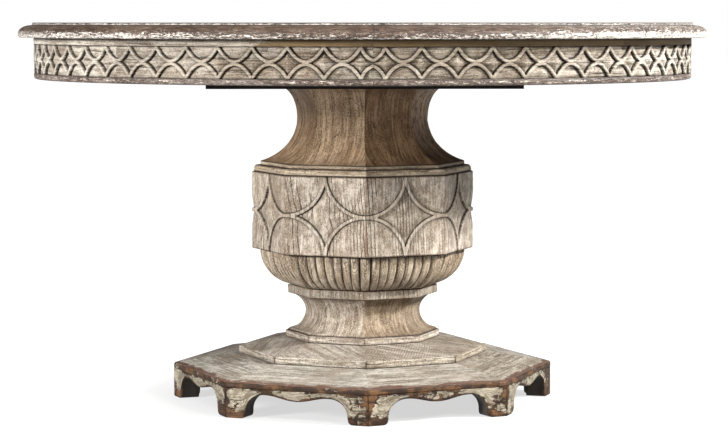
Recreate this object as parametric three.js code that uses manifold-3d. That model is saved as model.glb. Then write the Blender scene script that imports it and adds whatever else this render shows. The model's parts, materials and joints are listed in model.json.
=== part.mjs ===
// Round extending pedestal table, in millimetres, +Z up.
// The origin is on the floor under the middle of the pedestal. The two half tops part at the
// plane X = 0 and slide outwards along X on dovetailed wooden runners. A pinion between two
// racks keeps both halves the same distance from the pedestal.
import * as THREE from "three";
import { mergeVertices } from "three/addons/utils/BufferGeometryUtils.js";
import Module from "manifold-3d";

const wasm = await Module();
wasm.setup();

// ---------------------------------------------------------------- driving dimensions

const GAP = 0.3; // between pieces that rest on each other
const CUT = 5; // how far a cutter runs past what it cuts
const TURN = Math.PI * 2;
const radians = THREE.MathUtils.degToRad;

// Top
const TABLE_HEIGHT = 755;
const TOP_RADIUS = 686; // 54 in across
const TOP_THICK = 29; // at the moulded edge
const PANEL_THICK = 25;
const PANEL_RADIUS = 600;
const TOP_STEP_RADIUS = 658; // where the flat top ends in a small step
const TOP_STEP = 5;
const STEP_EASE = [1, 3]; // the step's top corner is eased in two cuts, to these distances in
const NOSE = { height: 7, ease: 3 }; // upright band at the foot of the rounded edge
const SHOULDER = 2; // flat between the step and the rounded edge
const SEAM = 0.3; // each half stops this far from the plane X = 0
const ROUND_SEGMENTS = 80; // facets in a full circle of the top

// Apron under the top
const APRON_RADIUS = 655.5;
const APRON_WALL = 24;
const APRON_BOTTOM = 656.3;
const BEAD_BOTTOM = 644.5;
const BEAD_ROUND = 4;
const GLUE_BLOCK = { size: 30, height: 56, setBack: 2, angle: radians(52) };

// Extension slides
const TRAVEL = 260; // of each half, for a 508 mm leaf
const SLIDE_Y = 170; // middle of each set of slides
const RAIL_WIDTH = 40;
const RAIL_BOTTOM = 668;
const RAIL_HEIGHT = 58;
const RAIL_LENGTH = 860;
const RUNNER_BODY = 28;
const RUNNER_OUTER_END = 550;
const RUNNER_INNER_END = 250;
const GROOVE_DEPTH = 12.6;
const GROOVE_MOUTH = [21, 37]; // heights above the rail's bottom
const GROOVE_BACK = [17, 41];
const TONGUE_DEPTH = 12.4;
const SLIP = 0.4; // clearance between a tongue and its groove
const RUNNER_RAISE = 3; // a runner's underside above the rail's
const CROSS_X = [240, 300]; // each cross member's nearer and farther faces
const CROSS_THICK = 17.9;
const STOP = { length: 34, width: 20, clearance: 3, margin: 1 };

// Plate between the slides and the pedestal
const PLATE = { length: 618, depth: 350, bottom: 626.5, thick: 23 };

// Equaliser: pinion and racks
const MODULE = 4;
const PINION_TEETH = 14;
const PITCH_RADIUS = (MODULE * PINION_TEETH) / 2;
const PRESSURE_ANGLE = radians(20);
const PINION_ADDENDUM = MODULE;
const RACK_ADDENDUM = 0.7 * MODULE; // short, so that the pinion isn't undercut
const DEDENDUM = 1.25 * MODULE;
const BACKLASH = 0.4; // taken off each tooth's thickness
const RACK_BACK = 15; // from the tooth roots to the back
const RACK_OUTER_END = -330;
const RACK_SPARE_TEETH = 2; // beyond the travel, at both ends
const RACK_END = 8; // from the last tooth's middle to the end
const RACK_BOTTOM = 706;
const PINION_Z = [705.4, 722];
const PINION_BORE = 6.35;
const PIN = { radius: 6, headRadius: 9, below: 4, headFrom: 0.6, headTo: 4 };
const BRIDGE = { halfLength: 85, halfWidth: 26, leg: 28, deck: 692, top: 705 };

// Pedestal: octagons with corners on the X and Y axes, given by their corner radii
const ROD_RADIUS = 6;
const BORE_RADIUS = 8;
const NECK = { top: 626.2, waist: 565, waistRadius: 132, bottom: 477.9 };
const NECK_FLARE_UP = { rx: 37, ry: 62 };
const NECK_FLARE_DOWN = { rx: 107, ry: 91.6 };
const COLLAR = { top: 477.6, ovoloTop: 470, ovoloBottom: 460.5, bottom: 457.5 };
const COLLAR_RADIUS = { fillet: 206, ovolo: 214, foot: 220 };
const DRUM = { top: 457.2, bottom: 301.2, radius: 223.8 };
const BOWL = { top: 300.9, bottom: 228.5, rim: 208, rx: 75, ry: 74 };
const ASTRAGAL = { top: 228.2, bottom: 210.1, radius: 151.8 };
const COVE = { top: 209.8, bottom: 136.1, waist: 176, waistRadius: 116, fillet: 3.6 };
const COVE_FLARE_UP = { rx: 50, ry: 38 };
const COVE_FLARE_DOWN = { rx: 36, ry: 36.5 };
const PLINTH = { top: 135.8, bottom: 121.6, radius: 156.5 };
const STEP = { top: 121.3, edgeTop: 103.7, bottom: 89.1, radius: 252, inner: 157.5 };
const BASE = { top: 88.8, edgeTop: 68.5, bottom: 58, radius: 384, inner: 255.5 };

// Bracket feet: eight mitred boards
const BOARD_THICK = 40;
const BOARD_TOP = 57.7;
const FOOT_HALF = 42; // from the corner to the foot's inner edge
const ARCH = { apexAt: 81.5, apex: 47.5, middle: 38.2 };
const ARCH_HANDLES = { rise: 30, apex: 24, middle: 25 }; // lengths of the curves' handles
const MITRE_GAP = 0.2; // taken off each end of a board

// Seam fittings
const DOWEL_Y = [-520, -300, 300, 520];
const DOWEL_RADIUS = 5;
const DOWEL_LENGTH = 50;
const DOWEL_SIDES = 12;
const SOCKET_SPARE = 2; // a socket's depth past the dowel's end
const LOCK_Y = 420;
const LOCK_PIVOT_X = -30;
const LOCK_REACH = 50; // from the pivot to the keeper's post
const LOCK_PLATE = { x: [-52, -8], halfWidth: 18, thick: 5 };
const LOCK_PIVOT = { radius: 4, length: 17, headRadius: 7.5, head: [14, 18] }; // down from the panel
const LOCK_LEVER = { z: [6.5, 13], arm: 9, tab: 6, tabEnd: -34, tabFrom: -12, eye: 4.35 };
const LOCK_NOTCH = { before: 4.6, after: 3.8, top: 4 }; // round the keeper's post
const KEEPER = { x: [8, 40], halfWidth: 16, thick: 3, postRadius: 3, postLength: 15 };

// Tie rod through the pedestal
const WASHER = { radius: 22, thick: 3, sides: 20 };
const NUT = { radius: 11, thick: 10 };
const ROD_SPARE = 4; // thread past each nut

// ---------------------------------------------------------------- materials

const finish = (color, roughness, metalness = 0) =>
  new THREE.MeshStandardMaterial({ color, roughness, metalness });
const MATERIALS = {
  limed: finish(0xb9ab92, 0.75), // weathered painted timber
  rim: finish(0x8d7a69, 0.6), // rubbed edge of the top
  dark: finish(0x24160f, 0.6),
  hardwood: finish(0xb48a58, 0.6),
  steel: finish(0x9a9a98, 0.4, 1),
  nylon: finish(0xe6e2d6, 0.5),
};

// ---------------------------------------------------------------- helpers

const table = new THREE.Group();

function add(name, geometry, material) {
  const mesh = new THREE.Mesh(geometry, MATERIALS[material]);
  mesh.name = name;
  table.add(mesh);
  return mesh;
}

// A closed geometry as a solid that can be cut and joined.
function solid(geometry) {
  const bare = geometry.clone();
  bare.deleteAttribute("normal");
  bare.deleteAttribute("uv");
  const merged = mergeVertices(bare, 1e-4);
  return new wasm.Manifold(
    new wasm.Mesh({
      numProp: 3,
      vertProperties: merged.attributes.position.array,
      triVerts: new Uint32Array(merged.index.array),
    }),
  );
}

function geometryOf(body) {
  const mesh = body.getMesh();
  const geometry = new THREE.BufferGeometry();
  geometry.setAttribute("position", new THREE.BufferAttribute(mesh.vertProperties, 3));
  geometry.setIndex(new THREE.BufferAttribute(mesh.triVerts, 1));
  return geometry;
}

// A box from its lowest and highest corners.
function box(low, high) {
  const size = high.map((h, i) => h - low[i]);
  const geometry = new THREE.BoxGeometry(...size);
  return geometry.translate(...low.map((l, i) => l + size[i] / 2));
}

// A profile of [radius, height] points turned about Z, its first corner towards -Y.
function turned(profile, segments) {
  const points = profile.map(([r, z]) => new THREE.Vector2(r, z));
  points.push(points[0].clone());
  return new THREE.LatheGeometry(points, segments).rotateX(Math.PI / 2);
}

// An octagonal block with a bore, from the points of its outside, bottom to top.
function octagonal(outside, bore = BORE_RADIUS) {
  const low = outside[0][1];
  const high = outside[outside.length - 1][1];
  return turned([[bore, low], ...outside, [bore, high]], 8);
}

// Points of an ellipse's arc, from one height to another, on its side nearer the axis (side -1)
// or farther from it (side 1).
function arc(centre, radii, fromZ, toZ, side, steps) {
  const angleAt = (z) => Math.asin(THREE.MathUtils.clamp((z - centre[1]) / radii.ry, -1, 1));
  const from = angleAt(fromZ);
  const to = angleAt(toZ);
  return Array.from({ length: steps + 1 }, (_, i) => {
    const a = from + ((to - from) * i) / steps;
    return [centre[0] + side * radii.rx * Math.cos(a), centre[1] + radii.ry * Math.sin(a)];
  });
}

// An outline of [x, y] points, drawn on a plane and given a thickness along Z.
function slab(points, low, high) {
  const shape = new THREE.Shape(points.map(([x, y]) => new THREE.Vector2(x, y)));
  const geometry = new THREE.ExtrudeGeometry(shape, { depth: high - low, bevelEnabled: false });
  return geometry.translate(0, 0, low);
}

// An outline of [y, z] points, swept along X.
function sweptX(points, fromX, toX) {
  const along = new THREE.Matrix4().makeBasis(
    new THREE.Vector3(0, 1, 0),
    new THREE.Vector3(0, 0, 1),
    new THREE.Vector3(1, 0, 0),
  );
  return slab(points, fromX, toX).applyMatrix4(along);
}

function upright(radius, low, high, sides = 16) {
  const geometry = new THREE.CylinderGeometry(radius, radius, high - low, sides);
  return geometry.rotateX(Math.PI / 2).translate(0, 0, (low + high) / 2);
}

// The half of a round piece on one side (-1 left, 1 right) of the seam.
function halfOf(geometry, side) {
  const reach = TOP_RADIUS + CUT;
  const near = side * SEAM;
  const far = side * reach;
  const keep = box([Math.min(near, far), -reach, 0], [Math.max(near, far), reach, 2 * TABLE_HEIGHT]);
  return solid(geometry).intersect(solid(keep));
}

const SIDES = [
  { name: "left", sign: -1 },
  { name: "right", sign: 1 },
];

// ---------------------------------------------------------------- top

const panelBottom = TABLE_HEIGHT - PANEL_THICK;
const underPanel = panelBottom - 2 * GAP; // top of what is screwed up under the panels
const topBottom = TABLE_HEIGHT - TOP_THICK;

function mouldingProfile() {
  const inner = PANEL_RADIUS + GAP;
  const shoulder = TABLE_HEIGHT - TOP_STEP;
  const nose = topBottom + NOSE.height;
  const centre = [TOP_STEP_RADIUS + SHOULDER, nose];
  const radii = { rx: TOP_RADIUS - centre[0], ry: shoulder - nose };
  return [
    [inner, topBottom],
    [TOP_RADIUS - NOSE.ease, topBottom],
    [TOP_RADIUS, topBottom + NOSE.ease],
    ...arc(centre, radii, nose, shoulder, 1, 6),
    [TOP_STEP_RADIUS, shoulder],
    [TOP_STEP_RADIUS - STEP_EASE[0], TABLE_HEIGHT - STEP_EASE[0]],
    [TOP_STEP_RADIUS - STEP_EASE[1], TABLE_HEIGHT],
    [inner, TABLE_HEIGHT],
  ];
}

// A bar lying along X in the middle of the top's thickness, across the seam.
function crossBar(radius, length, y) {
  const bar = new THREE.CylinderGeometry(radius, radius, length, DOWEL_SIDES);
  return bar.rotateZ(Math.PI / 2).translate(0, y, TABLE_HEIGHT - PANEL_THICK / 2);
}

// Half a disc whose flat edge is at the seam, with a socket for each dowel.
function panel(sign) {
  const steps = ROUND_SEGMENTS / 2;
  const inset = Math.asin(SEAM / PANEL_RADIUS);
  const rim = Array.from({ length: steps + 1 }, (_, i) => {
    const a = -Math.PI / 2 + inset + ((Math.PI - 2 * inset) * i) / steps;
    return [PANEL_RADIUS * Math.cos(a), PANEL_RADIUS * Math.sin(a)];
  });
  let body = solid(slab(rim, panelBottom, TABLE_HEIGHT));
  for (const y of DOWEL_Y) {
    const socket = crossBar(DOWEL_RADIUS + GAP, DOWEL_LENGTH + 2 * SOCKET_SPARE, y);
    body = body.subtract(solid(socket));
  }
  const geometry = geometryOf(body);
  return sign > 0 ? geometry : geometry.rotateZ(Math.PI);
}

function apronRing() {
  const inner = APRON_RADIUS - APRON_WALL;
  return turned(
    [
      [inner, APRON_BOTTOM],
      [APRON_RADIUS, APRON_BOTTOM],
      [APRON_RADIUS, topBottom - GAP],
      [inner, topBottom - GAP],
    ],
    ROUND_SEGMENTS,
  );
}

function beadRing() {
  const inner = APRON_RADIUS - APRON_WALL;
  const roundCentre = [APRON_RADIUS - BEAD_ROUND, BEAD_BOTTOM + BEAD_ROUND];
  const round = { rx: BEAD_ROUND, ry: BEAD_ROUND };
  return turned(
    [
      [inner, BEAD_BOTTOM],
      ...arc(roundCentre, round, BEAD_BOTTOM, roundCentre[1], 1, 3),
      [APRON_RADIUS, APRON_BOTTOM - GAP],
      [inner, APRON_BOTTOM - GAP],
    ],
    ROUND_SEGMENTS,
  );
}

// Glue block inside the apron, in the angle under the top.
function glueBlock(sign, ahead) {
  const { size, height, setBack, angle } = GLUE_BLOCK;
  const outer = APRON_RADIUS - APRON_WALL - setBack;
  const block = box([outer - size, -size, topBottom - height], [outer, size, topBottom - GAP]);
  return block.rotateZ((sign > 0 ? 0 : Math.PI) + ahead * angle);
}

for (const { name, sign } of SIDES) {
  add(`${name}_top_panel`, panel(sign), "limed");
  const moulding = halfOf(turned(mouldingProfile(), ROUND_SEGMENTS), sign);
  add(`${name}_top_moulding`, geometryOf(moulding), "rim");
  add(`${name}_apron`, geometryOf(halfOf(apronRing(), sign)), "limed");
  add(`${name}_apron_bead`, geometryOf(halfOf(beadRing(), sign)), "limed");
  add(`${name}_glue_block_a`, glueBlock(sign, -1), "hardwood");
  add(`${name}_glue_block_b`, glueBlock(sign, 1), "hardwood");
}

// ---------------------------------------------------------------- extension slides

// A centre rail's section, with a dovetail groove in each side.
function railSection(y) {
  const half = RAIL_WIDTH / 2;
  const deep = half - GROOVE_DEPTH;
  const oneSide = [
    [half, 0],
    [half, GROOVE_MOUTH[0]],
    [deep, GROOVE_BACK[0]],
    [deep, GROOVE_BACK[1]],
    [half, GROOVE_MOUTH[1]],
    [half, RAIL_HEIGHT],
  ];
  const otherSide = oneSide.map(([a, z]) => [-a, z]).reverse();
  return [...oneSide, ...otherSide].map(([a, z]) => [y + a, RAIL_BOTTOM + z]);
}

// A runner's section: a body beside the rail and a dovetail tongue in its groove.
// away is 1 where the body is on the rail's +Y side, and -1 where it is on its -Y side.
function runnerSection(y, away) {
  const near = RAIL_WIDTH / 2 + SLIP;
  const tip = near - TONGUE_DEPTH;
  const slope = (GROOVE_MOUTH[0] - GROOVE_BACK[0]) / GROOVE_DEPTH;
  const lowAt = (a) => GROOVE_MOUTH[0] - (RAIL_WIDTH / 2 - a) * slope + SLIP;
  const middle = (GROOVE_MOUTH[0] + GROOVE_MOUTH[1]) / 2;
  const highAt = (a) => 2 * middle - lowAt(a);
  const top = underPanel - RAIL_BOTTOM;
  const section = [
    [near, RUNNER_RAISE],
    [near + RUNNER_BODY, RUNNER_RAISE],
    [near + RUNNER_BODY, top],
    [near, top],
    [near, highAt(near)],
    [tip, highAt(tip)],
    [tip, lowAt(tip)],
    [near, lowAt(near)],
  ];
  const placed = section.map(([a, z]) => [y + away * a, RAIL_BOTTOM + z]);
  return away > 0 ? placed : placed.reverse();
}

for (const [name, ahead] of [
  ["front", -1],
  ["rear", 1],
]) {
  const y = ahead * SLIDE_Y;
  const rail = sweptX(railSection(y), -RAIL_LENGTH / 2, RAIL_LENGTH / 2);
  add(`${name}_centre_rail`, rail, "hardwood");
  for (const side of SIDES) {
    // In front the left runner is the outer one, and behind the right one is.
    const outer = side.sign === ahead;
    const away = outer ? ahead : -ahead;
    const ends = [side.sign * RUNNER_OUTER_END, -side.sign * RUNNER_INNER_END];
    const runner = sweptX(runnerSection(y, away), Math.min(...ends), Math.max(...ends));
    add(`${side.name}_${name}_runner`, runner, "hardwood");
  }
}

const plateTop = PLATE.bottom + PLATE.thick;

for (const { name, sign } of SIDES) {
  const near = sign * CROSS_X[0];
  const far = sign * CROSS_X[1];
  const reach = SLIDE_Y + RAIL_WIDTH / 2;
  const cross = box(
    [Math.min(near, far), -reach, plateTop + GAP],
    [Math.max(near, far), reach, plateTop + GAP + CROSS_THICK],
  );
  add(`${name}_cross_member`, cross, "hardwood");

  // The stop under the inner runner meets the cross member's inner face at full travel.
  const stopNear = -sign * (TRAVEL + STOP.margin - CROSS_X[0]);
  const stopFar = stopNear - sign * STOP.length;
  const innerY = -sign * (SLIDE_Y - RAIL_WIDTH / 2 - SLIP - RUNNER_BODY / 2);
  const stop = box(
    [Math.min(stopNear, stopFar), innerY - STOP.width / 2, plateTop + STOP.clearance],
    [Math.max(stopNear, stopFar), innerY + STOP.width / 2, RAIL_BOTTOM + RUNNER_RAISE - GAP],
  );
  add(`${name}_stop_block`, stop, "hardwood");
}

// ---------------------------------------------------------------- mounting plate

function mountingPlate() {
  const x = PLATE.length / 2;
  const y = PLATE.depth / 2;
  const plate = solid(box([-x, -y, PLATE.bottom], [x, y, plateTop]));
  const bore = solid(upright(BORE_RADIUS, PLATE.bottom - CUT, plateTop + CUT));
  return geometryOf(plate.subtract(bore));
}

add("mounting_plate", mountingPlate(), "dark");

// ---------------------------------------------------------------- equaliser

const toothPitch = Math.PI * MODULE;
const toothThick = toothPitch / 2 - BACKLASH;

function pinionOutline() {
  const base = PITCH_RADIUS * Math.cos(PRESSURE_ANGLE);
  const tip = PITCH_RADIUS + PINION_ADDENDUM;
  const root = PITCH_RADIUS - DEDENDUM;
  const involute = (angle) => Math.tan(angle) - angle;
  const halfAtBase = toothThick / (2 * PITCH_RADIUS) + involute(PRESSURE_ANGLE);
  const halfAt = (r) => halfAtBase - involute(Math.acos(Math.min(1, base / r)));
  const steps = 3;
  const radii = Array.from({ length: steps + 1 }, (_, i) => base + ((tip - base) * i) / steps);
  const flank = [[root, halfAtBase], ...radii.map((r) => [r, halfAt(r)])];
  const outline = [];
  for (let tooth = 0; tooth < PINION_TEETH; tooth++) {
    const middle = (TURN * tooth) / PINION_TEETH;
    const rising = flank.map(([r, half]) => [r, middle - half]);
    const falling = flank.map(([r, half]) => [r, middle + half]).reverse();
    for (const [r, a] of [...rising, ...falling]) {
      outline.push([r * Math.cos(a), r * Math.sin(a)]);
    }
  }
  return outline;
}

// The left half's rack: its teeth point to -Y and one is centred on X = 0.
function rackOutline() {
  const root = PITCH_RADIUS + DEDENDUM;
  const tip = PITCH_RADIUS - RACK_ADDENDUM;
  const lean = Math.tan(PRESSURE_ANGLE);
  const halfTip = toothThick / 2 - RACK_ADDENDUM * lean;
  const halfRoot = toothThick / 2 + DEDENDUM * lean;
  const firstTooth = -RACK_SPARE_TEETH;
  const lastTooth = Math.ceil(TRAVEL / toothPitch) + RACK_SPARE_TEETH;
  const outline = [[RACK_OUTER_END, root]];
  for (let tooth = firstTooth; tooth <= lastTooth; tooth++) {
    const x = tooth * toothPitch;
    outline.push([x - halfRoot, root], [x - halfTip, tip], [x + halfTip, tip], [x + halfRoot, root]);
  }
  const end = lastTooth * toothPitch + RACK_END;
  const back = root + RACK_BACK;
  return [...outline, [end, root], [end, back], [RACK_OUTER_END, back]];
}

const leftRack = slab(rackOutline(), RACK_BOTTOM, underPanel);
add("left_rack", leftRack, "nylon");
add("right_rack", leftRack.clone().rotateZ(Math.PI), "nylon");

function pinion() {
  const wheel = solid(slab(pinionOutline(), ...PINION_Z));
  const bore = solid(upright(PINION_BORE, PINION_Z[0] - CUT, PINION_Z[1] + CUT));
  return geometryOf(wheel.subtract(bore));
}

// A raised bridge over the tie rod's nut, which carries the pinion's pin.
function gearBridge() {
  const { halfLength, halfWidth, leg, deck, top } = BRIDGE;
  const foot = plateTop + GAP;
  const outline = [
    [-halfLength, foot],
    [-halfLength + leg, foot],
    [-halfLength + leg, deck],
    [halfLength - leg, deck],
    [halfLength - leg, foot],
    [halfLength, foot],
    [halfLength, top],
    [-halfLength, top],
  ];
  const body = solid(sweptX(outline, -halfWidth, halfWidth));
  const bore = solid(upright(PIN.radius + GAP, deck - CUT, top + CUT));
  return geometryOf(body.subtract(bore));
}

function pinionPin() {
  const [, pinionTop] = PINION_Z;
  const shank = solid(upright(PIN.radius, BRIDGE.deck - PIN.below, pinionTop + 1));
  const head = solid(upright(PIN.headRadius, pinionTop + PIN.headFrom, pinionTop + PIN.headTo));
  return geometryOf(shank.add(head));
}

add("equaliser_pinion", pinion(), "nylon");
add("gear_bridge", gearBridge(), "hardwood");
add("pinion_pin", pinionPin(), "steel");

// ---------------------------------------------------------------- seam fittings

DOWEL_Y.forEach((y, i) => {
  add(`seam_dowel_${i + 1}`, crossBar(DOWEL_RADIUS, DOWEL_LENGTH, y), "hardwood");
});

// A plate screwed up under a panel, given by how it lies along X.
function fixingPlate({ x, halfWidth, thick }, y) {
  return solid(box([x[0], y - halfWidth, underPanel - thick], [x[1], y + halfWidth, underPanel]));
}

// A pin hanging from the panel, from one depth below it to another.
function hanging(radius, from, to, x, y, sides) {
  return solid(upright(radius, underPanel - to, underPanel - from, sides).translate(x, y, 0));
}

function lockBody(y) {
  const { radius, length, headRadius, head } = LOCK_PIVOT;
  const pivot = hanging(radius, LOCK_PLATE.thick - 1, length, LOCK_PIVOT_X, y);
  const rivet = hanging(headRadius, head[0], head[1], LOCK_PIVOT_X, y);
  return geometryOf(fixingPlate(LOCK_PLATE, y).add(pivot).add(rivet));
}

// A flat lever with an eye, a hooked arm and a thumb tab, drawn with its arm along +X.
function lockLever(y) {
  const { z, arm, tab, tabEnd, tabFrom, eye } = LOCK_LEVER;
  const notch = [LOCK_REACH - LOCK_NOTCH.before, LOCK_REACH + LOCK_NOTCH.after];
  const outline = [
    [tabEnd, -tab],
    [tabFrom, -arm],
    [notch[0], -arm],
    [notch[0], LOCK_NOTCH.top],
    [notch[1], LOCK_NOTCH.top],
    [notch[1], -arm],
    [LOCK_REACH + 9, -arm + 3],
    [LOCK_REACH + 10, 2],
    [LOCK_REACH + 4, arm],
    [tabFrom, arm],
    [tabEnd, tab],
  ];
  const flat = solid(slab(outline, underPanel - z[1], underPanel - z[0]));
  const bore = solid(upright(eye, underPanel - z[1] - CUT, underPanel - z[0] + CUT));
  const geometry = geometryOf(flat.subtract(bore));
  return geometry.rotateZ(Math.PI / 2).translate(LOCK_PIVOT_X, y, 0);
}

function lockKeeper(y) {
  const { thick, postRadius, postLength } = KEEPER;
  const postX = LOCK_PIVOT_X + LOCK_REACH;
  const post = hanging(postRadius, thick - 1, postLength, postX, y, 12);
  return geometryOf(fixingPlate(KEEPER, y).add(post));
}

for (const [name, ahead] of [
  ["front", -1],
  ["rear", 1],
]) {
  const y = ahead * LOCK_Y;
  add(`${name}_lock_body`, lockBody(y), "steel");
  add(`${name}_lock_lever`, lockLever(y), "steel");
  add(`${name}_lock_keeper`, lockKeeper(y), "steel");
}

// ---------------------------------------------------------------- pedestal

function neck() {
  const { top, waist, waistRadius, bottom } = NECK;
  const down = [waistRadius + NECK_FLARE_DOWN.rx, waist];
  const up = [waistRadius + NECK_FLARE_UP.rx, waist];
  return octagonal([
    ...arc(down, NECK_FLARE_DOWN, bottom, waist, -1, 10),
    ...arc(up, NECK_FLARE_UP, waist, top, -1, 7).slice(1),
  ]);
}

function collarMoulding() {
  const { top, ovoloTop, ovoloBottom, bottom } = COLLAR;
  const { fillet, ovolo, foot } = COLLAR_RADIUS;
  const radii = { rx: foot - ovolo, ry: ovoloTop - ovoloBottom };
  return octagonal([
    [foot, bottom],
    ...arc([ovolo, ovoloBottom], radii, ovoloBottom, ovoloTop, 1, 4),
    [fillet, ovoloTop],
    [fillet, top],
  ]);
}

function bowl() {
  const { top, bottom, rim, rx, ry } = BOWL;
  return octagonal(arc([rim - rx, top], { rx, ry }, bottom, top, 1, 10));
}

function lowerCove() {
  const { top, bottom, waist, waistRadius, fillet } = COVE;
  const down = [waistRadius + COVE_FLARE_DOWN.rx, waist];
  const up = [waistRadius + COVE_FLARE_UP.rx, waist];
  const sweep = arc(down, COVE_FLARE_DOWN, bottom + fillet, waist, -1, 8);
  return octagonal([
    [sweep[0][0], bottom],
    ...sweep,
    ...arc(up, COVE_FLARE_UP, waist, top, -1, 8).slice(1),
  ]);
}

const straight = ({ top, bottom, radius }) =>
  octagonal([
    [radius, bottom],
    [radius, top],
  ]);

// A tier whose top slopes up from a thin upright edge.
const sloping = ({ top, edgeTop, bottom, radius, inner }) =>
  octagonal([
    [radius, bottom],
    [radius, edgeTop],
    [inner, top],
  ]);

add("neck", neck(), "limed");
add("collar_moulding", collarMoulding(), "limed");
add("drum", straight(DRUM), "limed");
add("gadroon_bowl", bowl(), "limed");
add("astragal", straight(ASTRAGAL), "limed");
add("lower_cove", lowerCove(), "limed");
add("cove_plinth", straight(PLINTH), "limed");
add("step_tier", sloping(STEP), "limed");
add("base_top", sloping(BASE), "limed");

// ---------------------------------------------------------------- bracket feet

const FACET = Math.PI / 4;
const apothem = BASE.radius * Math.cos(FACET / 2);
const halfFacet = BASE.radius * Math.sin(FACET / 2) - MITRE_GAP;

// A board's face: feet at both ends and a waved arch between them.
function boardShape() {
  const footAt = halfFacet - FOOT_HALF;
  const apexAt = halfFacet - ARCH.apexAt;
  const { apex, middle } = ARCH;
  const handle = ARCH_HANDLES;
  const shape = new THREE.Shape();
  shape.moveTo(-halfFacet, 0);
  shape.lineTo(-footAt, 0);
  shape.bezierCurveTo(-footAt, handle.rise, -apexAt - handle.apex, apex, -apexAt, apex);
  shape.bezierCurveTo(-apexAt + handle.apex, apex, -handle.middle, middle, 0, middle);
  shape.bezierCurveTo(handle.middle, middle, apexAt - handle.apex, apex, apexAt, apex);
  shape.bezierCurveTo(apexAt + handle.apex, apex, footAt, handle.rise, footAt, 0);
  shape.lineTo(halfFacet, 0);
  shape.lineTo(halfFacet, BOARD_TOP);
  shape.lineTo(-halfFacet, BOARD_TOP);
  return shape;
}

// The board with its ends mitred to meet its neighbours, its face at depth 0.
function mitredBoard() {
  const board = new THREE.ExtrudeGeometry(boardShape(), {
    depth: BOARD_THICK,
    bevelEnabled: false,
    curveSegments: 6,
  });
  const position = board.attributes.position;
  for (let i = 0; i < position.count; i++) {
    const x = position.getX(i);
    if (Math.abs(x) > halfFacet - MITRE_GAP / 2) {
      position.setX(i, x - Math.sign(x) * position.getZ(i) * Math.tan(FACET / 2));
    }
  }
  return board;
}

for (let i = 0; i < 8; i++) {
  const angle = -Math.PI / 2 + FACET * (i + 0.5);
  const outward = new THREE.Vector3(Math.cos(angle), Math.sin(angle), 0);
  const inward = outward.clone().negate();
  const tangent = new THREE.Vector3(Math.sin(angle), -Math.cos(angle), 0);
  const place = new THREE.Matrix4()
    .makeBasis(tangent, new THREE.Vector3(0, 0, 1), inward)
    .setPosition(outward.multiplyScalar(apothem));
  add(`foot_board_${i + 1}`, mitredBoard().applyMatrix4(place), "limed");
}

// ---------------------------------------------------------------- tie rod

// A disc or a nut with a hole for the rod.
function threaded(radius, [low, high], sides) {
  const outside = solid(upright(radius, low, high, sides));
  const hole = solid(upright(ROD_RADIUS + GAP, low - CUT, high + CUT));
  return geometryOf(outside.subtract(hole));
}

const washer = (z) => threaded(WASHER.radius, z, WASHER.sides);
const nut = (z) => threaded(NUT.radius, z, 6);

const topWasher = [plateTop + GAP, plateTop + GAP + WASHER.thick];
const topNut = [topWasher[1] + GAP, topWasher[1] + GAP + NUT.thick];
const lowWasher = [BASE.bottom - GAP - WASHER.thick, BASE.bottom - GAP];
const lowNut = [lowWasher[0] - GAP - NUT.thick, lowWasher[0] - GAP];

add("tie_rod", upright(ROD_RADIUS, lowNut[0] - ROD_SPARE, topNut[1] + ROD_SPARE), "steel");
add("tie_rod_top_washer", washer(topWasher), "steel");
add("tie_rod_top_nut", nut(topNut), "steel");
add("tie_rod_bottom_washer", washer(lowWasher), "steel");
add("tie_rod_bottom_nut", nut(lowNut), "steel");

export default table;
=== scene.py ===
"""Looks of the round pedestal table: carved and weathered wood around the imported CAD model.

Lengths here are millimetres unless a name says otherwise; meshes are made in metres.
"""

import json
import math

import bpy
import numpy as np
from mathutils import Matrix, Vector


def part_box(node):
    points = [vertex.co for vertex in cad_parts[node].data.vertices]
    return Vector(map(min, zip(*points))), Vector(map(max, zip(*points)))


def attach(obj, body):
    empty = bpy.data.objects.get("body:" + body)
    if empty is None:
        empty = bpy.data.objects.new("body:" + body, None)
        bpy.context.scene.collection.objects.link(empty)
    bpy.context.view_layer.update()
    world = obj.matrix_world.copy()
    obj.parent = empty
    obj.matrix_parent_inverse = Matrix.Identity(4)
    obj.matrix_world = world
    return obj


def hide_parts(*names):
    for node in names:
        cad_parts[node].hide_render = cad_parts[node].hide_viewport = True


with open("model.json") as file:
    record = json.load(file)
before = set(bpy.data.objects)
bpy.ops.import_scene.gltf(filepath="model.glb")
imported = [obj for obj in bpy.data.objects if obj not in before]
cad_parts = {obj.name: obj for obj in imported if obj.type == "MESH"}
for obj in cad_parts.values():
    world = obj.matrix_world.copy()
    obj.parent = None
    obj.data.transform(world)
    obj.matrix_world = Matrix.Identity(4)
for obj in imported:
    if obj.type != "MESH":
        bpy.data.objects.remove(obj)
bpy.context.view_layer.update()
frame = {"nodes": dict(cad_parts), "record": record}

SIDES = {"left": -1, "right": 1}
SEAM = 0.3 # each half top stops this far from the plane X = 0
EIGHTH = math.pi / 4
COS_HALF = math.cos(EIGHTH / 2)
SIN_HALF = math.sin(EIGHTH / 2)


def extent(name):
    """Lowest and highest level of a CAD node, and how far it reaches along X."""
    low, high = (corner * 1000 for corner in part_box(name))
    return low.z, high.z, high.x


# ---- noise and curves


def lattice(ix, iy, iz, seed):
    """A repeatable random number from 0 to 1 at each point of a whole-number lattice."""
    n = (ix * 374761393 + iy * 668265263 + iz * 1442695041 + seed * 974634777) & 0xFFFFFFFF
    n = ((n ^ (n >> 13)) * 1274126177) & 0xFFFFFFFF
    return ((n ^ (n >> 16)) & 0xFFFFFF) / 0xFFFFFF


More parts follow.
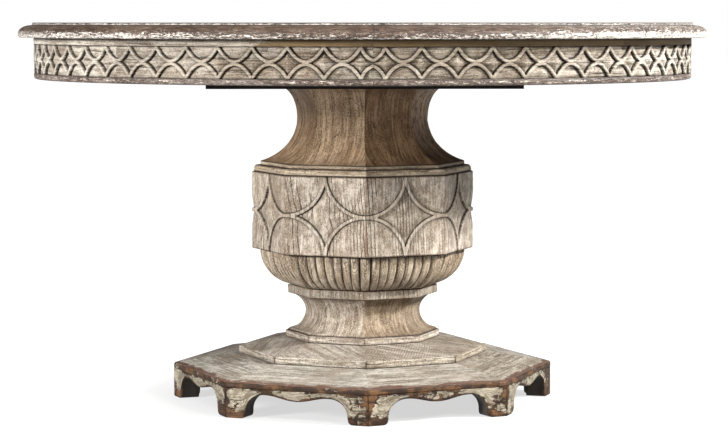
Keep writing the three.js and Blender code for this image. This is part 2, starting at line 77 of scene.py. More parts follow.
def noise(x, y, z, size, seed=0):
    """Smooth noise from -1 to 1 whose lumps are about size across."""
    p = np.broadcast_arrays(*(np.asarray(c, float) / size for c in (x, y, z)))
    cell = [np.floor(c).astype(np.int64) for c in p]
    t = [c - k for c, k in zip(p, cell)]
    t = [c * c * (3 - 2 * c) for c in t]
    total = 0
    for corner in np.ndindex(2, 2, 2):
        weight = math.prod(c if d else 1 - c for c, d in zip(t, corner))
        total = total + weight * lattice(*(k + d for k, d in zip(cell, corner)), seed)
    return total * 2 - 1


def fractal(x, y, z, size, seed=0):
    """Noise with finer noise on it."""
    return sum(noise(x, y, z, size / 2**k, seed + k) / 2**k for k in range(3)) / 1.75


def ease(value, low, high):
    """0 below low, 1 above high, and a smooth step between them."""
    t = np.clip((value - low) / (high - low), 0, 1)
    return t * t * (3 - 2 * t)


def bump(distance, width):
    """1 at no distance, falling smoothly to 0 beyond a few widths."""
    return np.exp(-((distance / width) ** 2))


def more_grime_and_shade(grime_and_shade, more):
    """Grime and painted shade with more of it added. Values below 0, which mark raised places painted paler as a
    rubbed wash and a highlight, stay where none is added.
    """
    return np.where(more > 0.03, np.maximum(grime_and_shade, more), grime_and_shade)


def arc(centre, radii, from_z, to_z, side, steps):
    """Points of an upright ellipse between two heights, on its inner (-1) or outer (1) side."""
    z = np.clip((np.array([from_z, to_z]) - centre[1]) / radii[1], -1, 1)
    angles = np.linspace(*np.arcsin(z), steps + 1)
    return [(centre[0] + side * radii[0] * math.cos(a), centre[1] + radii[1] * math.sin(a)) for a in angles]


def waisted(low, high, waist, down, up, steps):
    """A hollow outline: two arcs, with the radii down and up, that meet at the waist (radius and height)."""
    radius, middle = waist
    lower = arc((radius + down[0], middle), down, low, middle, -1, steps[0])
    return lower + arc((radius + up[0], middle), up, middle, high, -1, steps[1])[1:]


def rounded(points, radius):
    """An open outline whose inner corners are eased by a small round."""
    out = [points[0]]
    for before, here, after in zip(points, points[1:], points[2:]):
        before, here, after = (np.array(p, float) for p in (before, here, after))
        back, ahead = before - here, after - here
        reach = min(radius, np.linalg.norm(back) / 2, np.linalg.norm(ahead) / 2)
        a = here + back / np.linalg.norm(back) * reach
        b = here + ahead / np.linalg.norm(ahead) * reach
        out += [tuple(a), tuple((a + 2 * here + b) / 4), tuple(b)]
    return out + [points[-1]]


def upright(low, high, radius, foot, top, edge, eased):
    """The outline of an upright band. Its ends are cut in by foot and top over the height of edge."""
    return rounded([(radius - foot, low), (radius, low + edge), (radius, high - edge), (radius - top, high)],
                   eased)


def refined(points, spacing):
    """An outline with points added so that none are further apart than spacing."""
    points = [np.array(p, float) for p in points]
    out = points[:1]
    for here, after in zip(points, points[1:]):
        steps = math.ceil(np.linalg.norm(after - here) / spacing - 1e-9)
        out += [here + (after - here) * k / steps for k in range(1, steps + 1)]
    return np.array(out)


def lengths(points):
    """Distance along an outline to each of its points."""
    return np.concatenate([[0], np.cumsum(np.linalg.norm(np.diff(points, axis=0), axis=1))])


# ---- meshes

BOARD_STEP = 2000 # between boards across the grain, so that a place on each board can be told


def at_corners(left, right):
    """A value at the four corners of every quad, from its values in the columns on the quad's left and right."""
    return np.stack([left, right, np.roll(right, -1, 1), np.roll(left, -1, 1)], -1)


def rows_at_corners(rows, end):
    """The same for a value that changes only from row to row, and is end where the last quad stops."""
    after = np.append(rows[1:], end)
    return np.stack([rows, rows, after, after], -1)


def grain_uvs(along, across, board):
    """Places in the grain at quad corners. Each board lies somewhere else in it, so that no two look alike."""
    board = np.asarray(board, float)
    shift = np.stack([board * 1370, board * BOARD_STEP + 70 * np.sin(board * 2.4 + 1)], -1)
    return np.stack(np.broadcast_arrays(along, across), -1) + shift[..., None, None, :]


def grid_piece(name, points, uvs, attributes, *, body, material, ring=False, sharp=40):
    """The piece that replaces the CAD node of its name, from a grid of points (columns, rows, 3).

    The rows close on themselves. With ring the columns do too, and otherwise the first and last are capped.
    """
    columns, rows = points.shape[:2]
    index = np.arange(columns * rows).reshape(columns, rows)
    quads = at_corners(index, np.roll(index, -1, 0)) if ring else at_corners(index[:-1], index[1:])
    quads = quads.reshape(-1, 4)
    caps = [] if ring else [index[0], index[-1][::-1]]
    points = points.reshape(-1, 3).astype(np.float32) / 1000
    loops = np.concatenate([quads.ravel(), *caps]).astype(np.int32)
    sizes = np.append(np.full(len(quads), 4), [rows] * len(caps))
    starts = (np.cumsum(sizes) - sizes).astype(np.int32)
    mesh = bpy.data.meshes.new(name)
    mesh.vertices.add(len(points))
    mesh.vertices.foreach_set("co", points.ravel())
    mesh.loops.add(len(loops))
    mesh.loops.foreach_set("vertex_index", loops)
    mesh.polygons.add(len(starts))
    mesh.polygons.foreach_set("loop_start", starts)
    mesh.update(calc_edges=True)
    grain = np.concatenate([uvs.reshape(-1, 2) / 1000, *(points[cap][:, 1:] for cap in caps)])
    mesh.uv_layers.new(name="grain").data.foreach_set("uv", grain.astype(np.float32).ravel())
    for key, values in attributes.items():
        values = np.broadcast_to(values, (columns, rows)).astype(np.float32)
        mesh.attributes.new(key, "FLOAT", "POINT").data.foreach_set("value", values.ravel())
    mesh.validate()
    mesh.polygons.foreach_set("use_smooth", np.ones(len(mesh.polygons), bool))
    mesh.set_sharp_from_angle(angle=math.radians(sharp))
    mesh.materials.append(material)
    piece = bpy.data.objects.new(name, mesh)
    bpy.context.scene.collection.objects.link(piece)
    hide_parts(name)
    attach(piece, body)
    return piece


# ---- octagonal pieces

BORE = 8 # radius of the hole for the tie rod
ENDS = ((0, 0), (0, 2)) # room in each column for the two points on the bore


def plain(*_):
    """The relief of a surface with nothing carved in it: no height, grime, painted shade or wear."""
    return 0, 0, 0


def octagon_grid(radius, per_facet, corner_round):
    """Columns of an octagonal block round its axis: facet, place across it, half its width, and whether a corner.

    Corners point along the X and Y axes. The first column follows the corner at -Y.
    """
    facet = np.repeat(np.arange(8), per_facet + 1)[:, None]
    fraction = np.tile(np.append(np.linspace(-1, 1, per_facet), 1), 8)[:, None]
    corner = np.tile(np.arange(per_facet + 1) == per_facet, 8)[:, None]
    half = radius * SIN_HALF * np.ones(facet.shape)
    across = np.where(corner, half, fraction * (half - corner_round * SIN_HALF))
    return facet, across, half, corner


def octagon_points(facet, across, corner, radius, height, corner_round):
    normal = -math.pi / 2 + EIGHTH * (facet + 0.5)
    n = np.stack([np.cos(normal), np.sin(normal)], -1)
    t = np.stack([-np.sin(normal), np.cos(normal)], -1)
    flat = n * (radius * COS_HALF)[..., None] + t * across[..., None]
    pulled = radius - corner_round * (1 / COS_HALF - 1)
    at_corner = (n * COS_HALF + t * SIN_HALF) * pulled[..., None]
    return np.concatenate([np.where(corner[..., None], at_corner, flat), height[..., None]], -1)


def octagon_ring(facet, across, corner, z):
    """The bore's ring at one height."""
    share = np.where(corner, 1, across / np.abs(across).max())
    angle = -math.pi / 2 + EIGHTH * (facet + 0.5 + share / 2)
    return np.stack([BORE * np.cos(angle), BORE * np.sin(angle), np.full(angle.shape, z)], -1)


def octagon_uvs(facet, across, half, corner, along, grain, turn):
    """Grain coordinates of every quad corner, each facet being its own board and turn the grain's angle by row."""
    across, half = (np.pad(values, ENDS, "edge") for values in (across, half))
    x = at_corners(np.where(corner, -half, across), np.roll(across, -1, 0))
    y = np.broadcast_to(rows_at_corners(along, along[-1] + 30), x.shape)
    u, v = (y, x) if grain == "up" else (x, y)
    cos, sin = np.cos(turn)[:, None], np.sin(turn)[:, None]
    return grain_uvs(u * cos - v * sin, u * sin + v * cos, np.roll(facet[:, 0], -1))


def edge_rows(line, along):
    """How near each row is to a sharp outward edge of the outline, 0 to 1."""
    step = np.diff(line, axis=0)
    heading = np.unwrap(np.arctan2(step[:, 1], step[:, 0]))
    turn = np.concatenate([[0.6], np.diff(heading), [0.6]])
    near = np.zeros(len(line))
    for k in np.nonzero(turn > 0.22)[0]:
        near = np.maximum(near, bump(along - along[k], 4) * min(1, turn[k] / 0.5))
    return near


def octagon_piece(name, outside, *, per_facet, material, spacing=4, corner_round=3, relief=plain,
                  grain="up", turn=np.zeros_like, joints=(True, True), chips=0.0, uneven=0.25, sharp=40,
                  edge_wear=1.0, painted_shades=None):
    """An octagonal block with a bore. outside is its outline, as corner radius and height, going up.

    relief(facet, across, half, along, height) gives millimetres to add, how much dark grime and painted
    shade lie there, and how worn the surface is. turn(height) gives the grain's angle in degrees. joints
    tells whether grime and painted shade gather at the bottom and at the top. painted_shades holds how
    much darker the board of each facet is painted, as shade for the light on that side; below 0 it is painted
    lighter.
    """
    line = refined(outside, spacing)
    along = lengths(line)
    facet, across, half, corner = octagon_grid(line[:, 0], per_facet, corner_round)
    radius, height, length = (np.broadcast_to(row, across.shape) for row in (*line.T, along))
    carved = relief(facet, across, half, length, height)
    raised, grime_and_shade, wear_and_light = (np.broadcast_to(values, across.shape) for values in carved)
    steep = np.abs(np.gradient(line[:, 1], along))
    corner_wear = bump(half - np.abs(across), 5) * ease(steep, 0.25, 0.6)
    near_edge = np.maximum(corner_wear, edge_rows(line, along)) * edge_wear
    place = np.moveaxis(octagon_points(facet, across, corner, radius, height, corner_round), -1, 0)
    lumps = fractal(*place, 45, seed=len(name))
    flakes = ease(fractal(*place, 11, seed=7 * len(name)), 0.05, 0.7)
    inward = uneven * (0.5 * lumps - 0.15) - chips * flakes * near_edge
    # grime and painted shade gathered at the joints
    for is_joint, distance in zip(joints, (length, along[-1] - length)):
        if is_joint:
            grime_and_shade = more_grime_and_shade(grime_and_shade, 0.9 * bump(distance, 2.2))
    outer = radius + (raised + inward) / COS_HALF
    rings = [octagon_ring(facet, across[:, [end]], corner, line[end, 1]) for end in (-1, 0)]
    points = np.concatenate([octagon_points(facet, across, corner, outer, height, corner_round), *rings], 1)
    depth = (radius * COS_HALF + raised + 2 * inward) / 1000
    attributes = {"grime_and_shade": grime_and_shade, "wear_and_light": np.maximum(wear_and_light, near_edge), "depth": depth}
    attributes = {key: np.pad(values, ENDS) for key, values in attributes.items()}
    # painted shade: each facet's board darker, or lighter below 0, for the light falling on that side
    attributes["painted_shade"] = np.array([(painted_shades or {}).get(k, 0.0) for k in range(8)])[facet]
    uvs = octagon_uvs(facet, across, half, corner, np.append(along, [along[-1] + 60, along[-1] + 90]), grain,
                      np.radians(np.append(turn(line[:, 1]), [0, 0])))
    return grid_piece(name, points, uvs, attributes, body="pedestal", material=material, ring=True,
                      sharp=sharp)


# ---- half-round pieces


def half_ring(kind, side, profile, columns, *, material, relief, boards, sharp=40, painted_shade=None):
    """Half a turned ring on one side of the seam. profile closes on itself, going up its outside.

    relief(turn, radius, height) gives millimetres to add, how much dark grime and painted shade lie
    there, and how worn the surface is with some painted light and shade mixed in, and painted_shade(turn) how much
    darker it is painted as shade. turn goes from 0 to pi, and from the front on the right half.
    """
    sign = SIDES[side]
    radius, height = profile.T
    along = lengths(profile)
    turn = np.linspace(0, math.pi, columns)[:, None]
    raised, grime_and_shade, wear_and_light = relief(turn, radius, height)
    angle = turn - math.pi / 2 + (0 if sign > 0 else math.pi)
    outer = radius + raised
    points = np.stack(np.broadcast_arrays(outer * np.cos(angle), outer * np.sin(angle), height), -1)
    points[..., 0] = sign * np.maximum(points[..., 0] * sign, SEAM)
    u = np.broadcast_to(turn * radius.max(), points.shape[:2])
    board = np.floor(np.arange(columns - 1) / (columns - 1) * boards) + (7 if sign > 0 else 0)
    uvs = grain_uvs(at_corners(u[:-1], u[1:]), rows_at_corners(along, along[-1] + 10), board)
    attributes = {"grime_and_shade": grime_and_shade, "wear_and_light": wear_and_light, "depth": raised / 1000}
    if painted_shade:
        attributes["painted_shade"] = painted_shade(turn)
    grid_piece(f"{side}_{kind}", points, uvs, attributes, body=f"{side}_top", material=material,
               sharp=sharp)


# ---- carved pattern of crossing arches


def arch_radius(half_pitch, rise):
    return (half_pitch**2 + rise**2) / (2 * rise)


def arch_distance(x, z, height, half_pitch, rise, side_radius=None):
    """Signed distance to the nearer of an arch rising from the bottom and one hanging from the top.

    It is negative inside an arch. With a side_radius, the arch is pointed and its sides have that radius.
    """
    if side_radius:
        radius = side_radius
        top = rise * 0.9
        chord = math.hypot(half_pitch, top)
        back = math.sqrt(radius**2 - chord**2 / 4)
        centre = (half_pitch / 2 - back * top / chord, top / 2 - back * half_pitch / chord)
    else:
        radius = arch_radius(half_pitch, rise)
        centre = (0.0, rise - radius)
    lower, upper = (np.hypot(np.abs(x) - centre[0], level - centre[1]) for level in (z, height - z))
    return np.minimum(lower, upper) - radius


def steep_arch_distance(x, z, height, half_pitch, rise):
    """The same for arches with nearly straight legs."""
    arch = rise * (1 - (x / half_pitch) ** 2)
    return (np.minimum(z, height - z) - arch) / np.hypot(1, 2 * rise * np.abs(x) / half_pitch**2)


def carve(distance, z, height, band):
    """Relief below the surface, and dark wax with painted shade in the hollows, from the signed distance to the
    arches.

    Between arches stand four-sided stars, and inside each arch is a slightly pillowed panel.
    """
    star_depth, star_slope, star_rise = 8.0, 0.75, 7.7
    panel_depth, panel_slope, panel_rise = 6.8, 0.3, 3.2
    off = np.abs(distance) - band / 2
    star = np.minimum(star_slope * np.maximum(off, 0), star_rise) - star_depth
    inside = np.minimum(off, np.minimum(z, height - z))
    panel = np.minimum(panel_slope * np.maximum(inside, 0), panel_rise) - panel_depth
    relief = np.where(distance > 0, star, panel) * ease(off, -0.4, 0.8)
    # dark wax and painted shade in the hollows beside the bands; below 0 on the bands, which are painted paler as a
    # rubbed wash and a highlight
    grime_and_shade = np.maximum(1.5 * bump(off - 0.6, 0.8) * (off > -0.2), 0.35 * bump(off - 1.2, 2.2) * (off > 0))
    return relief, np.clip(grime_and_shade - 0.35 * (off < -0.6), -1, 1)


# ---- materials

# dark brown for grime, pores and holes, and for painted shade in the hollows and joints
GRIME_AND_SHADE = (20, 12, 7)
WASH = 0.45 # all the washed and painted colours are taken down by this much


def colour(red, green, blue):
    """Linear colour from red, green and blue as seen on a screen, 0 to 255."""
    def linear(c):
        c /= 255
        return c / 12.92 if c <= 0.04045 else ((c + 0.055) / 1.055) ** 2.4
    return (linear(red), linear(green), linear(blue), 1)


def toned(base, share, warmth=1.0):
    """A colour made lighter or darker, and warmer where warmth is over 1."""
    red, green, blue, _ = base
    return (red * share, green * share / warmth**0.5, blue * share / warmth, 1)


class Graph:
    """A node tree and short ways to add to it. An input is a number, a tuple or a socket."""

    def __init__(self, owner):
        owner.use_nodes = True
        self.owner = owner
        self.tree = owner.node_tree

    def put(self, socket, value):
        if isinstance(value, bpy.types.NodeSocket):
            self.tree.links.new(value, socket)
        else:
            socket.default_value = value

    def shader(self, inputs, node="Principled BSDF"):
        """Set inputs of the tree's own shader."""
        for key, value in inputs.items():
            self.put(self.tree.nodes[node].inputs[key], value)

    def node(self, kind, inputs, output=0, **settings):
        made = self.tree.nodes.new("ShaderNode" + kind)
        for key, value in settings.items():
            setattr(made, key, value)
        for key, value in inputs.items():
            self.put(made.inputs[key], value)
        return made.outputs[output]

    def math(self, operation, a, b=0.0, c=0.0, clamp=False):
        return self.node("Math", {0: a, 1: b, 2: c}, operation=operation, use_clamp=clamp)

    def add(self, *terms):
        total = terms[0]
        for term in terms[1:]:
            total = self.math("ADD", total, term)
        return total

    def times(self, a, b, clamp=False):
        return self.math("MULTIPLY", a, b, clamp=clamp)

    def step(self, value, low, high):
        return self.node("MapRange", {"Value": value, "From Min": low, "From Max": high},
                         interpolation_type="SMOOTHSTEP")

    def stretch(self, vector, scale):
        return self.node("VectorMath", {0: vector, 1: scale}, operation="MULTIPLY")

    def noise(self, vector, scale, detail=3.0, rough=0.55, distortion=0.0):
        return self.node("TexNoise", {"Vector": vector, "Scale": scale, "Detail": detail, "Roughness": rough,
                                      "Distortion": distortion})

    def drawn(self, place, along, across, scale, *rest):
        """Noise drawn out along the grain."""
        return self.noise(self.stretch(place, (along, across, across)), scale, *rest)

    def mix(self, share, a, b):
        return self.node("Mix", {0: share, 6: a, 7: b}, output=2, data_type="RGBA")

    def stain(self, body, tint, share, value, low, high):
        """A body colour covered by a share of tint as value goes from low to high."""
        return self.mix(self.times(self.step(value, low, high), share), body, tint)

    def attribute(self, name):
        return self.node("Attribute", {}, output=2, attribute_name=name)

    def solid(self):
        """Place in the object itself."""
        return self.node("TexCoord", {}, output=3)

    def grain(self, source):
        """Place along (X) and across (Y) the grain: from the mesh, or along an axis of the object."""
        if source == "mesh":
            return self.node("UVMap", {}, uv_map="grain")
        if source == "x":
            return self.solid()
        return self.node("Mapping", {"Vector": self.solid(), "Rotation": (0, 0, math.pi / 2)})

    def finish(self, body, roughness, height, strength=0.6, distance=0.001, sheen=0.12):
        bumped = self.node("Bump", {"Strength": strength, "Distance": distance, "Height": height})
        self.shader({"Base Color": body, "Roughness": roughness, "Specular IOR Level": sheen, "Normal": bumped})
        return self.owner


def new_graph(name):
    return Graph(bpy.data.materials.new(name))


class Wood:
    """The figure of a board, as values from 0 to 1: streaks, growth rings, pores, grit and clouds.

    arch is how fast rings crowd away from the board's middle, run how fast they pass along it, across
    how many there are in a metre of its width, and dense how many in a metre of depth. wander is how
    far they sway, gather where they show, and line how much of each ring is dark.
    """

    def __init__(self, g, source, arch=900.0, run=9.0, dense=260.0, wander=3.0, gather=(0.42, 0.60),
                 line=(0.58, 0.97), across=0.0):
        self.place = place = g.grain(source)
        x = g.node("SeparateXYZ", {"Vector": place})
        y = x.node.outputs[1]
        middle = g.math("WRAP", y, BOARD_STEP / 2000, -BOARD_STEP / 2000)
        depth = g.attribute("depth") if source == "mesh" else x.node.outputs[2]
        sway = g.drawn(place, 3.5, 15, 1.0, 2)
        tremble = g.drawn(place, 16, 90, 1.0, 2)
        ring = g.add(g.times(middle, g.math("MULTIPLY_ADD", middle, arch, across)), g.times(x, run),
                     g.times(depth, dense), g.times(sway, wander), g.times(tremble, 0.55))
        late = g.step(g.math("FRACT", ring), *line)
        self.rings = g.times(late, g.step(g.drawn(place, 5, 18, 1.0, 2), *gather))
        self.broad = g.drawn(place, 4, 38, 1.0, 4, 0.6)
        self.streaks = g.drawn(place, 8, 170, 1.0, 3, 0.65)
        self.fine = g.drawn(place, 14, 480, 1.0, 3, 0.7)
        self.pores = g.step(g.drawn(place, 60, 1300, 1.0, 2), 0.58, 0.70)
        self.grit = g.drawn(place, 1, 1.6, 290.0, 4, 0.7)
        self.mottle = g.drawn(place, 1, 1.4, 48.0, 6, 0.72, 0.3)
        self.clouds = g.noise(place, 9.0, 3)


def specks(g, place, low, high):
    """Small dark holes, such as worm holes and dents, gathered in some places."""
    cells = g.node("TexVoronoi", {"Vector": place, "Scale": 150})
    return g.times(g.math("LESS_THAN", cells, 0.2), g.step(g.noise(place, 14, 2), low, high))


def grimed_and_shaded(g, wood, body, grime_and_shade):
    """Dark wax and painted shade in the hollows and joints, uneven."""
    share = g.times(g.attribute("grime_and_shade"), g.add(g.times(wood.grit, 0.9), 0.6), clamp=True)
    return g.mix(share, body, grime_and_shade)


def with_painted_shade(g, body):
    """Painted shade: darker and warmer boards where the mesh says so, and painted light: lighter and cooler ones
    below 0.
    """
    painted_shade = g.attribute("painted_shade")
    share = {k: g.math("MULTIPLY_ADD", painted_shade, -d, 1.0) for k, d in enumerate((0.9, 1.1, 1.35))}
    return g.stretch(body, g.node("CombineXYZ", share))


def limed(name, base, *, rings=0.7, holes=0.7, worn=None, contrast=1.0, flow=1.0, streaky=0.6, grime_and_shade_tint=GRIME_AND_SHADE,
          **figure):
    """Open-grained wood under a thin pale wash, dark in the pores, with dark wax and painted shade in the hollows."""
    g = new_graph(name)
    wood = Wood(g, "mesh", **figure)
    base = toned(colour(*base), WASH)
    pale, mid, dark = toned(base, 1.5, 0.95), toned(base, 0.72, 1.15), toned(base, 0.16, 1.4)
    grime_and_shade = colour(*grime_and_shade_tint)
    wash = g.add(g.times(g.add(wood.broad, wood.streaks), streaky / 2), g.times(wood.mottle, 1 - streaky))
    body = g.mix(g.step(wash, 0.44, 0.57), mid, pale)
    body = g.stain(body, toned(base, 0.62, 1.45), 0.55, wood.clouds, 0.48, 0.64)
    body = g.stain(body, dark, 0.75 * contrast * flow, wood.streaks, 0.46, 0.34)
    body = g.stain(body, dark, 0.7 * contrast * flow, wood.fine, 0.46, 0.36)
    body = g.mix(g.times(wood.rings, rings), body, dark)
    body = g.stain(body, dark, 0.85 * contrast, wood.grit, 0.55, 0.64)
    body = g.stain(body, toned(pale, 1.3), 0.6, wood.grit, 0.45, 0.35)
    body = g.mix(g.times(wood.pores, 0.7), body, grime_and_shade)
    holed = g.times(specks(g, wood.place, 0.50, 0.64), holes)
    body = g.mix(holed, body, grime_and_shade)
    if worn:
        under, share = worn
        ragged = g.drawn(wood.place, 1, 2, 55, 5, 0.65)
        wear_and_light = g.add(g.times(g.attribute("wear_and_light"), 0.5), g.times(ragged, 0.65))
        body = g.stain(body, toned(colour(*under), WASH), share, wear_and_light, 0.62, 0.72)
    # the raised bands painted paler: a rubbed wash and a painted highlight
    rubbed_and_highlit = g.times(g.attribute("grime_and_shade"), -0.65, clamp=True)
    body = g.mix(rubbed_and_highlit, body, toned(pale, 1.12))
    body = with_painted_shade(g, grimed_and_shaded(g, wood, body, grime_and_shade))
    height = g.add(g.times(wood.rings, -0.8), g.times(wood.pores, -0.4), g.times(wood.fine, 0.6),
                   g.times(wood.streaks, 0.8), g.times(wood.grit, -0.9), g.times(holed, -1.5))
    return g.finish(body, g.add(g.times(wood.fine, 0.25), 0.48), height, 0.9, 0.0012)


def chipped(name, paint, under):
    """Old paint that has flaked off brown wood, most of all along worn edges."""
    g = new_graph(name)
    wood = Wood(g, "mesh", arch=300.0, run=3.0, dense=100.0)
    paint, under, grime_and_shade = toned(colour(*paint), WASH), toned(colour(*under), WASH), colour(*GRIME_AND_SHADE)
    place = g.solid()
    patches = g.noise(g.stretch(place, (1, 1, 1.6)), 14.0, 3, 0.5, 0.3)
    ragged = g.noise(g.stretch(place, (1, 1, 1.4)), 95, 6, 0.72, 0.6)
    kept = g.add(g.times(patches, 0.5), g.times(ragged, 0.5), g.times(g.attribute("wear_and_light"), -0.20), 0.045)
    painted = g.step(kept, 0.475, 0.487)
    # a dark line round the edge of flaked paint: painted shadow of the flake's edge
    rim = g.times(g.step(kept, 0.435, 0.472), g.math("SUBTRACT", 1.0, painted))
    bare = g.mix(g.step(g.noise(place, 24, 4), 0.42, 0.56), toned(under, 0.4, 1.1), under)
    bare = g.stain(bare, grime_and_shade, 0.9, wood.streaks, 0.5, 0.38)
    bare = g.stain(bare, grime_and_shade, 0.7, wood.grit, 0.54, 0.64)
    bare = g.stain(bare, toned(grime_and_shade, 1.5), 0.8, g.noise(place, 46, 4, 0.6), 0.44, 0.58)
    film = g.mix(g.step(wood.mottle, 0.42, 0.58), toned(paint, 0.62, 1.15), toned(paint, 1.2))
    film = g.stain(film, toned(paint, 0.4, 1.25), 0.8, wood.streaks, 0.47, 0.34)
    film = g.stain(film, grime_and_shade, 0.6, wood.fine, 0.47, 0.36)
    film = g.stain(film, toned(paint, 0.35, 1.2), 0.7, wood.grit, 0.56, 0.66)
    cells = g.node("TexVoronoi", {"Vector": g.stretch(wood.place, (1, 2.4, 2.4)), "Scale": 95.0},
                   feature="DISTANCE_TO_EDGE")
    cracked = g.times(g.step(cells, 0.045, 0.01), g.step(g.noise(wood.place, 12, 2), 0.44, 0.56))
    film = g.mix(g.times(cracked, 0.75), film, grime_and_shade)
    body = g.mix(painted, bare, film)
    body = g.mix(g.times(rim, 0.9), body, grime_and_shade)
    grey = g.mix(g.step(wood.clouds, 0.4, 0.6), colour(46, 42, 38), colour(24, 20, 17))
    body = g.mix(g.attribute("inside"), body, grey)
    body = grimed_and_shaded(g, wood, body, grime_and_shade)
    height = g.add(painted, g.times(wood.fine, 0.4), g.times(wood.streaks, 0.4), g.times(cracked, -0.6))
    return g.finish(body, g.add(g.times(wood.fine, 0.3), 0.45), height, 0.9, 0.0015)


def rubbed(name, brown, grey, flake, *, lean, rough):
    """Brown wood with a grey wash, rubbed through to pale flakes where it is worn and where light is painted on."""
    g = new_graph(name)
    place = g.grain("mesh")
    brown, grey, flake, grime_and_shade = (colour(*tint) for tint in (brown, grey, flake, GRIME_AND_SHADE))
    streak = g.drawn(place, 1, 6, 34, 6, 0.70, 0.6)
    fine = g.drawn(place, 1, 2.2, 115, 6, 0.8)
    tone = g.add(g.times(streak, 0.6), g.times(g.noise(place, 8, 3), 0.4))
    body = g.mix(g.step(tone, 0.45, 0.56), brown, grey)
    body = g.stain(body, toned(grey, 1.9), 0.8, fine, 0.53, 0.62)
    body = g.stain(body, toned(brown, 0.3), 0.85, fine, 0.47, 0.38)
    flaking = g.drawn(place, 1, 2.4, 120, 6, 0.8)
    # pale flakes where worn, and where light is painted on the rim's sides
    worn = g.add(g.times(g.attribute("wear_and_light"), lean), g.times(flaking, 0.65), g.times(streak, 0.35))
    bare = g.step(worn, 0.605, 0.63)
    body = g.mix(bare, body, g.mix(g.step(fine, 0.42, 0.55), flake, toned(flake, 0.4, 1.1)))
    body = g.stain(body, colour(92, 62, 38), 0.4, g.drawn(place, 1, 2, 80, 4, 0.6), 0.60, 0.66)
    dark = g.step(g.drawn(place, 1, 4, 80, 5, 0.65), 0.55, 0.61)
    body = g.mix(g.times(dark, 0.85), body, grime_and_shade)
    body = g.mix(specks(g, place, 0.48, 0.60), body, grime_and_shade)
    body = g.mix(g.math("MINIMUM", g.attribute("grime_and_shade"), 1.0), body, grime_and_shade)
    height = g.add(g.times(fine, 0.7), g.times(dark, -0.5), g.times(bare, 0.4))
    return g.finish(body, g.add(g.times(fine, 0.35), rough), height, 0.9, 0.0012, sheen=0.3)


def stained(name, pale, dark, source, rough=0.4):
    """Planed hardwood under a clear or dark stain."""
    g = new_graph(name)
    wood = Wood(g, source, arch=1500.0, run=6.0, dense=120.0)
    pale, dark = colour(*pale), colour(*dark)
    body = g.mix(g.step(wood.broad, 0.35, 0.65), pale, dark)
    body = g.stain(body, dark, 0.5, wood.streaks, 0.5, 0.36)
    body = g.mix(g.times(wood.rings, 0.5), body, dark)
    body = g.mix(g.times(wood.pores, 0.5), body, colour(20, 13, 9))
    height = g.add(g.times(wood.fine, 0.5), g.times(wood.pores, -0.6))
    return g.finish(body, g.add(g.times(wood.fine, 0.2), rough), height, 0.3, 0.0005, sheen=0.2)


def metal(name):
    """Zinc-plated steel with fine scratches."""
    g = new_graph(name)
    place = g.solid()
    scratch = g.drawn(place, 60, 900, 1.0, 3)
    body = g.stain(colour(176, 176, 172), colour(120, 116, 108), 0.4, g.noise(place, 90, 3), 0.5, 0.7)
    g.shader({"Metallic": 1.0})
    return g.finish(body, g.add(g.times(scratch, 0.25), 0.22), scratch, 0.15, 0.0003, sheen=0.5)


def plastic(name):
    """Moulded nylon with a faint grain."""
    g = new_graph(name)
    place = g.solid()
    mottle = g.noise(place, 320, 3)
    body = g.mix(g.step(g.noise(place, 30, 2), 0.3, 0.7), colour(198, 192, 178), colour(184, 177, 162))
    return g.finish(body, g.add(g.times(mottle, 0.15), 0.38), mottle, 0.1, 0.0003, sheen=0.5)


# its worn brown also paints shadow under the rim on the plain strip
apron_wood = limed("apron_wood", (178, 168, 154), rings=0.4, run=4.0, dense=420.0, arch=3000.0,
                   worn=((132, 108, 72), 0.9))
drum_wood = limed("drum_wood", (184, 171, 155), rings=1.0, dense=60.0, arch=200.0, across=135.0,
                  line=(0.72, 0.93), wander=1.5, gather=(0.44, 0.54), flow=0.3, streaky=0.45,
                  worn=((126, 88, 62), 0.35))
bowl_wood = limed("bowl_wood", (184, 168, 147), rings=0.9, dense=330.0, line=(0.65, 0.97))
neck_wood = limed("neck_wood", (166, 138, 108), rings=0.3, dense=40.0, holes=1.0, contrast=1.6, flow=0.4,
                  streaky=0.7, grime_and_shade_tint=(22, 14, 8))
collar_wood = limed("collar_wood", (184, 166, 142), worn=((206, 190, 166), 0.5), grime_and_shade_tint=(24, 16, 10))
cove_wood = limed("cove_wood", (172, 158, 141), rings=0.3, dense=30.0, holes=1.0, contrast=1.4, flow=0.5)
band_wood = limed("band_wood", (158, 147, 132), rings=0.5, contrast=1.3, worn=((132, 102, 74), 0.3))
plinth_wood = limed("plinth_wood", (192, 180, 165), rings=0.5, contrast=1.2, worn=((132, 102, 74), 0.3))
step_wood = limed("step_wood", (172, 162, 149), rings=0.95, arch=120.0, across=190.0, run=30.0, wander=1.2,
                  line=(0.76, 0.95), gather=(0.36, 0.48), flow=0.5, worn=((100, 68, 52), 0.5))
edge_wood = limed("edge_wood", (186, 176, 160), rings=0.3, contrast=1.3, worn=((150, 128, 100), 0.4))
base_wood = limed("base_wood", (176, 169, 157), rings=0.5, flow=0.8, worn=((98, 68, 54), 0.9))
top_wood = limed("top_wood", (150, 134, 112), rings=0.6, worn=((100, 76, 54), 0.5))
foot_paint = chipped("foot_paint", (172, 162, 143), (118, 84, 54))
bead_paint = rubbed("bead_paint", (50, 38, 30), (88, 78, 72), (182, 172, 160), lean=0.09, rough=0.5)
rim_wood = rubbed("rim_wood", (40, 25, 15), (70, 57, 46), (186, 180, 172), lean=0.095, rough=0.4)
plate_wood = stained("plate_wood", (18, 10, 6), (8, 5, 4), "x", rough=0.8)
slide_wood_x, slide_wood_y = (stained(f"slide_wood_{axis}", (128, 92, 60), (92, 62, 38), axis) for axis in "xy")
zinc = metal("zinc")
nylon = plastic("nylon")


# ---- camera, light and floor


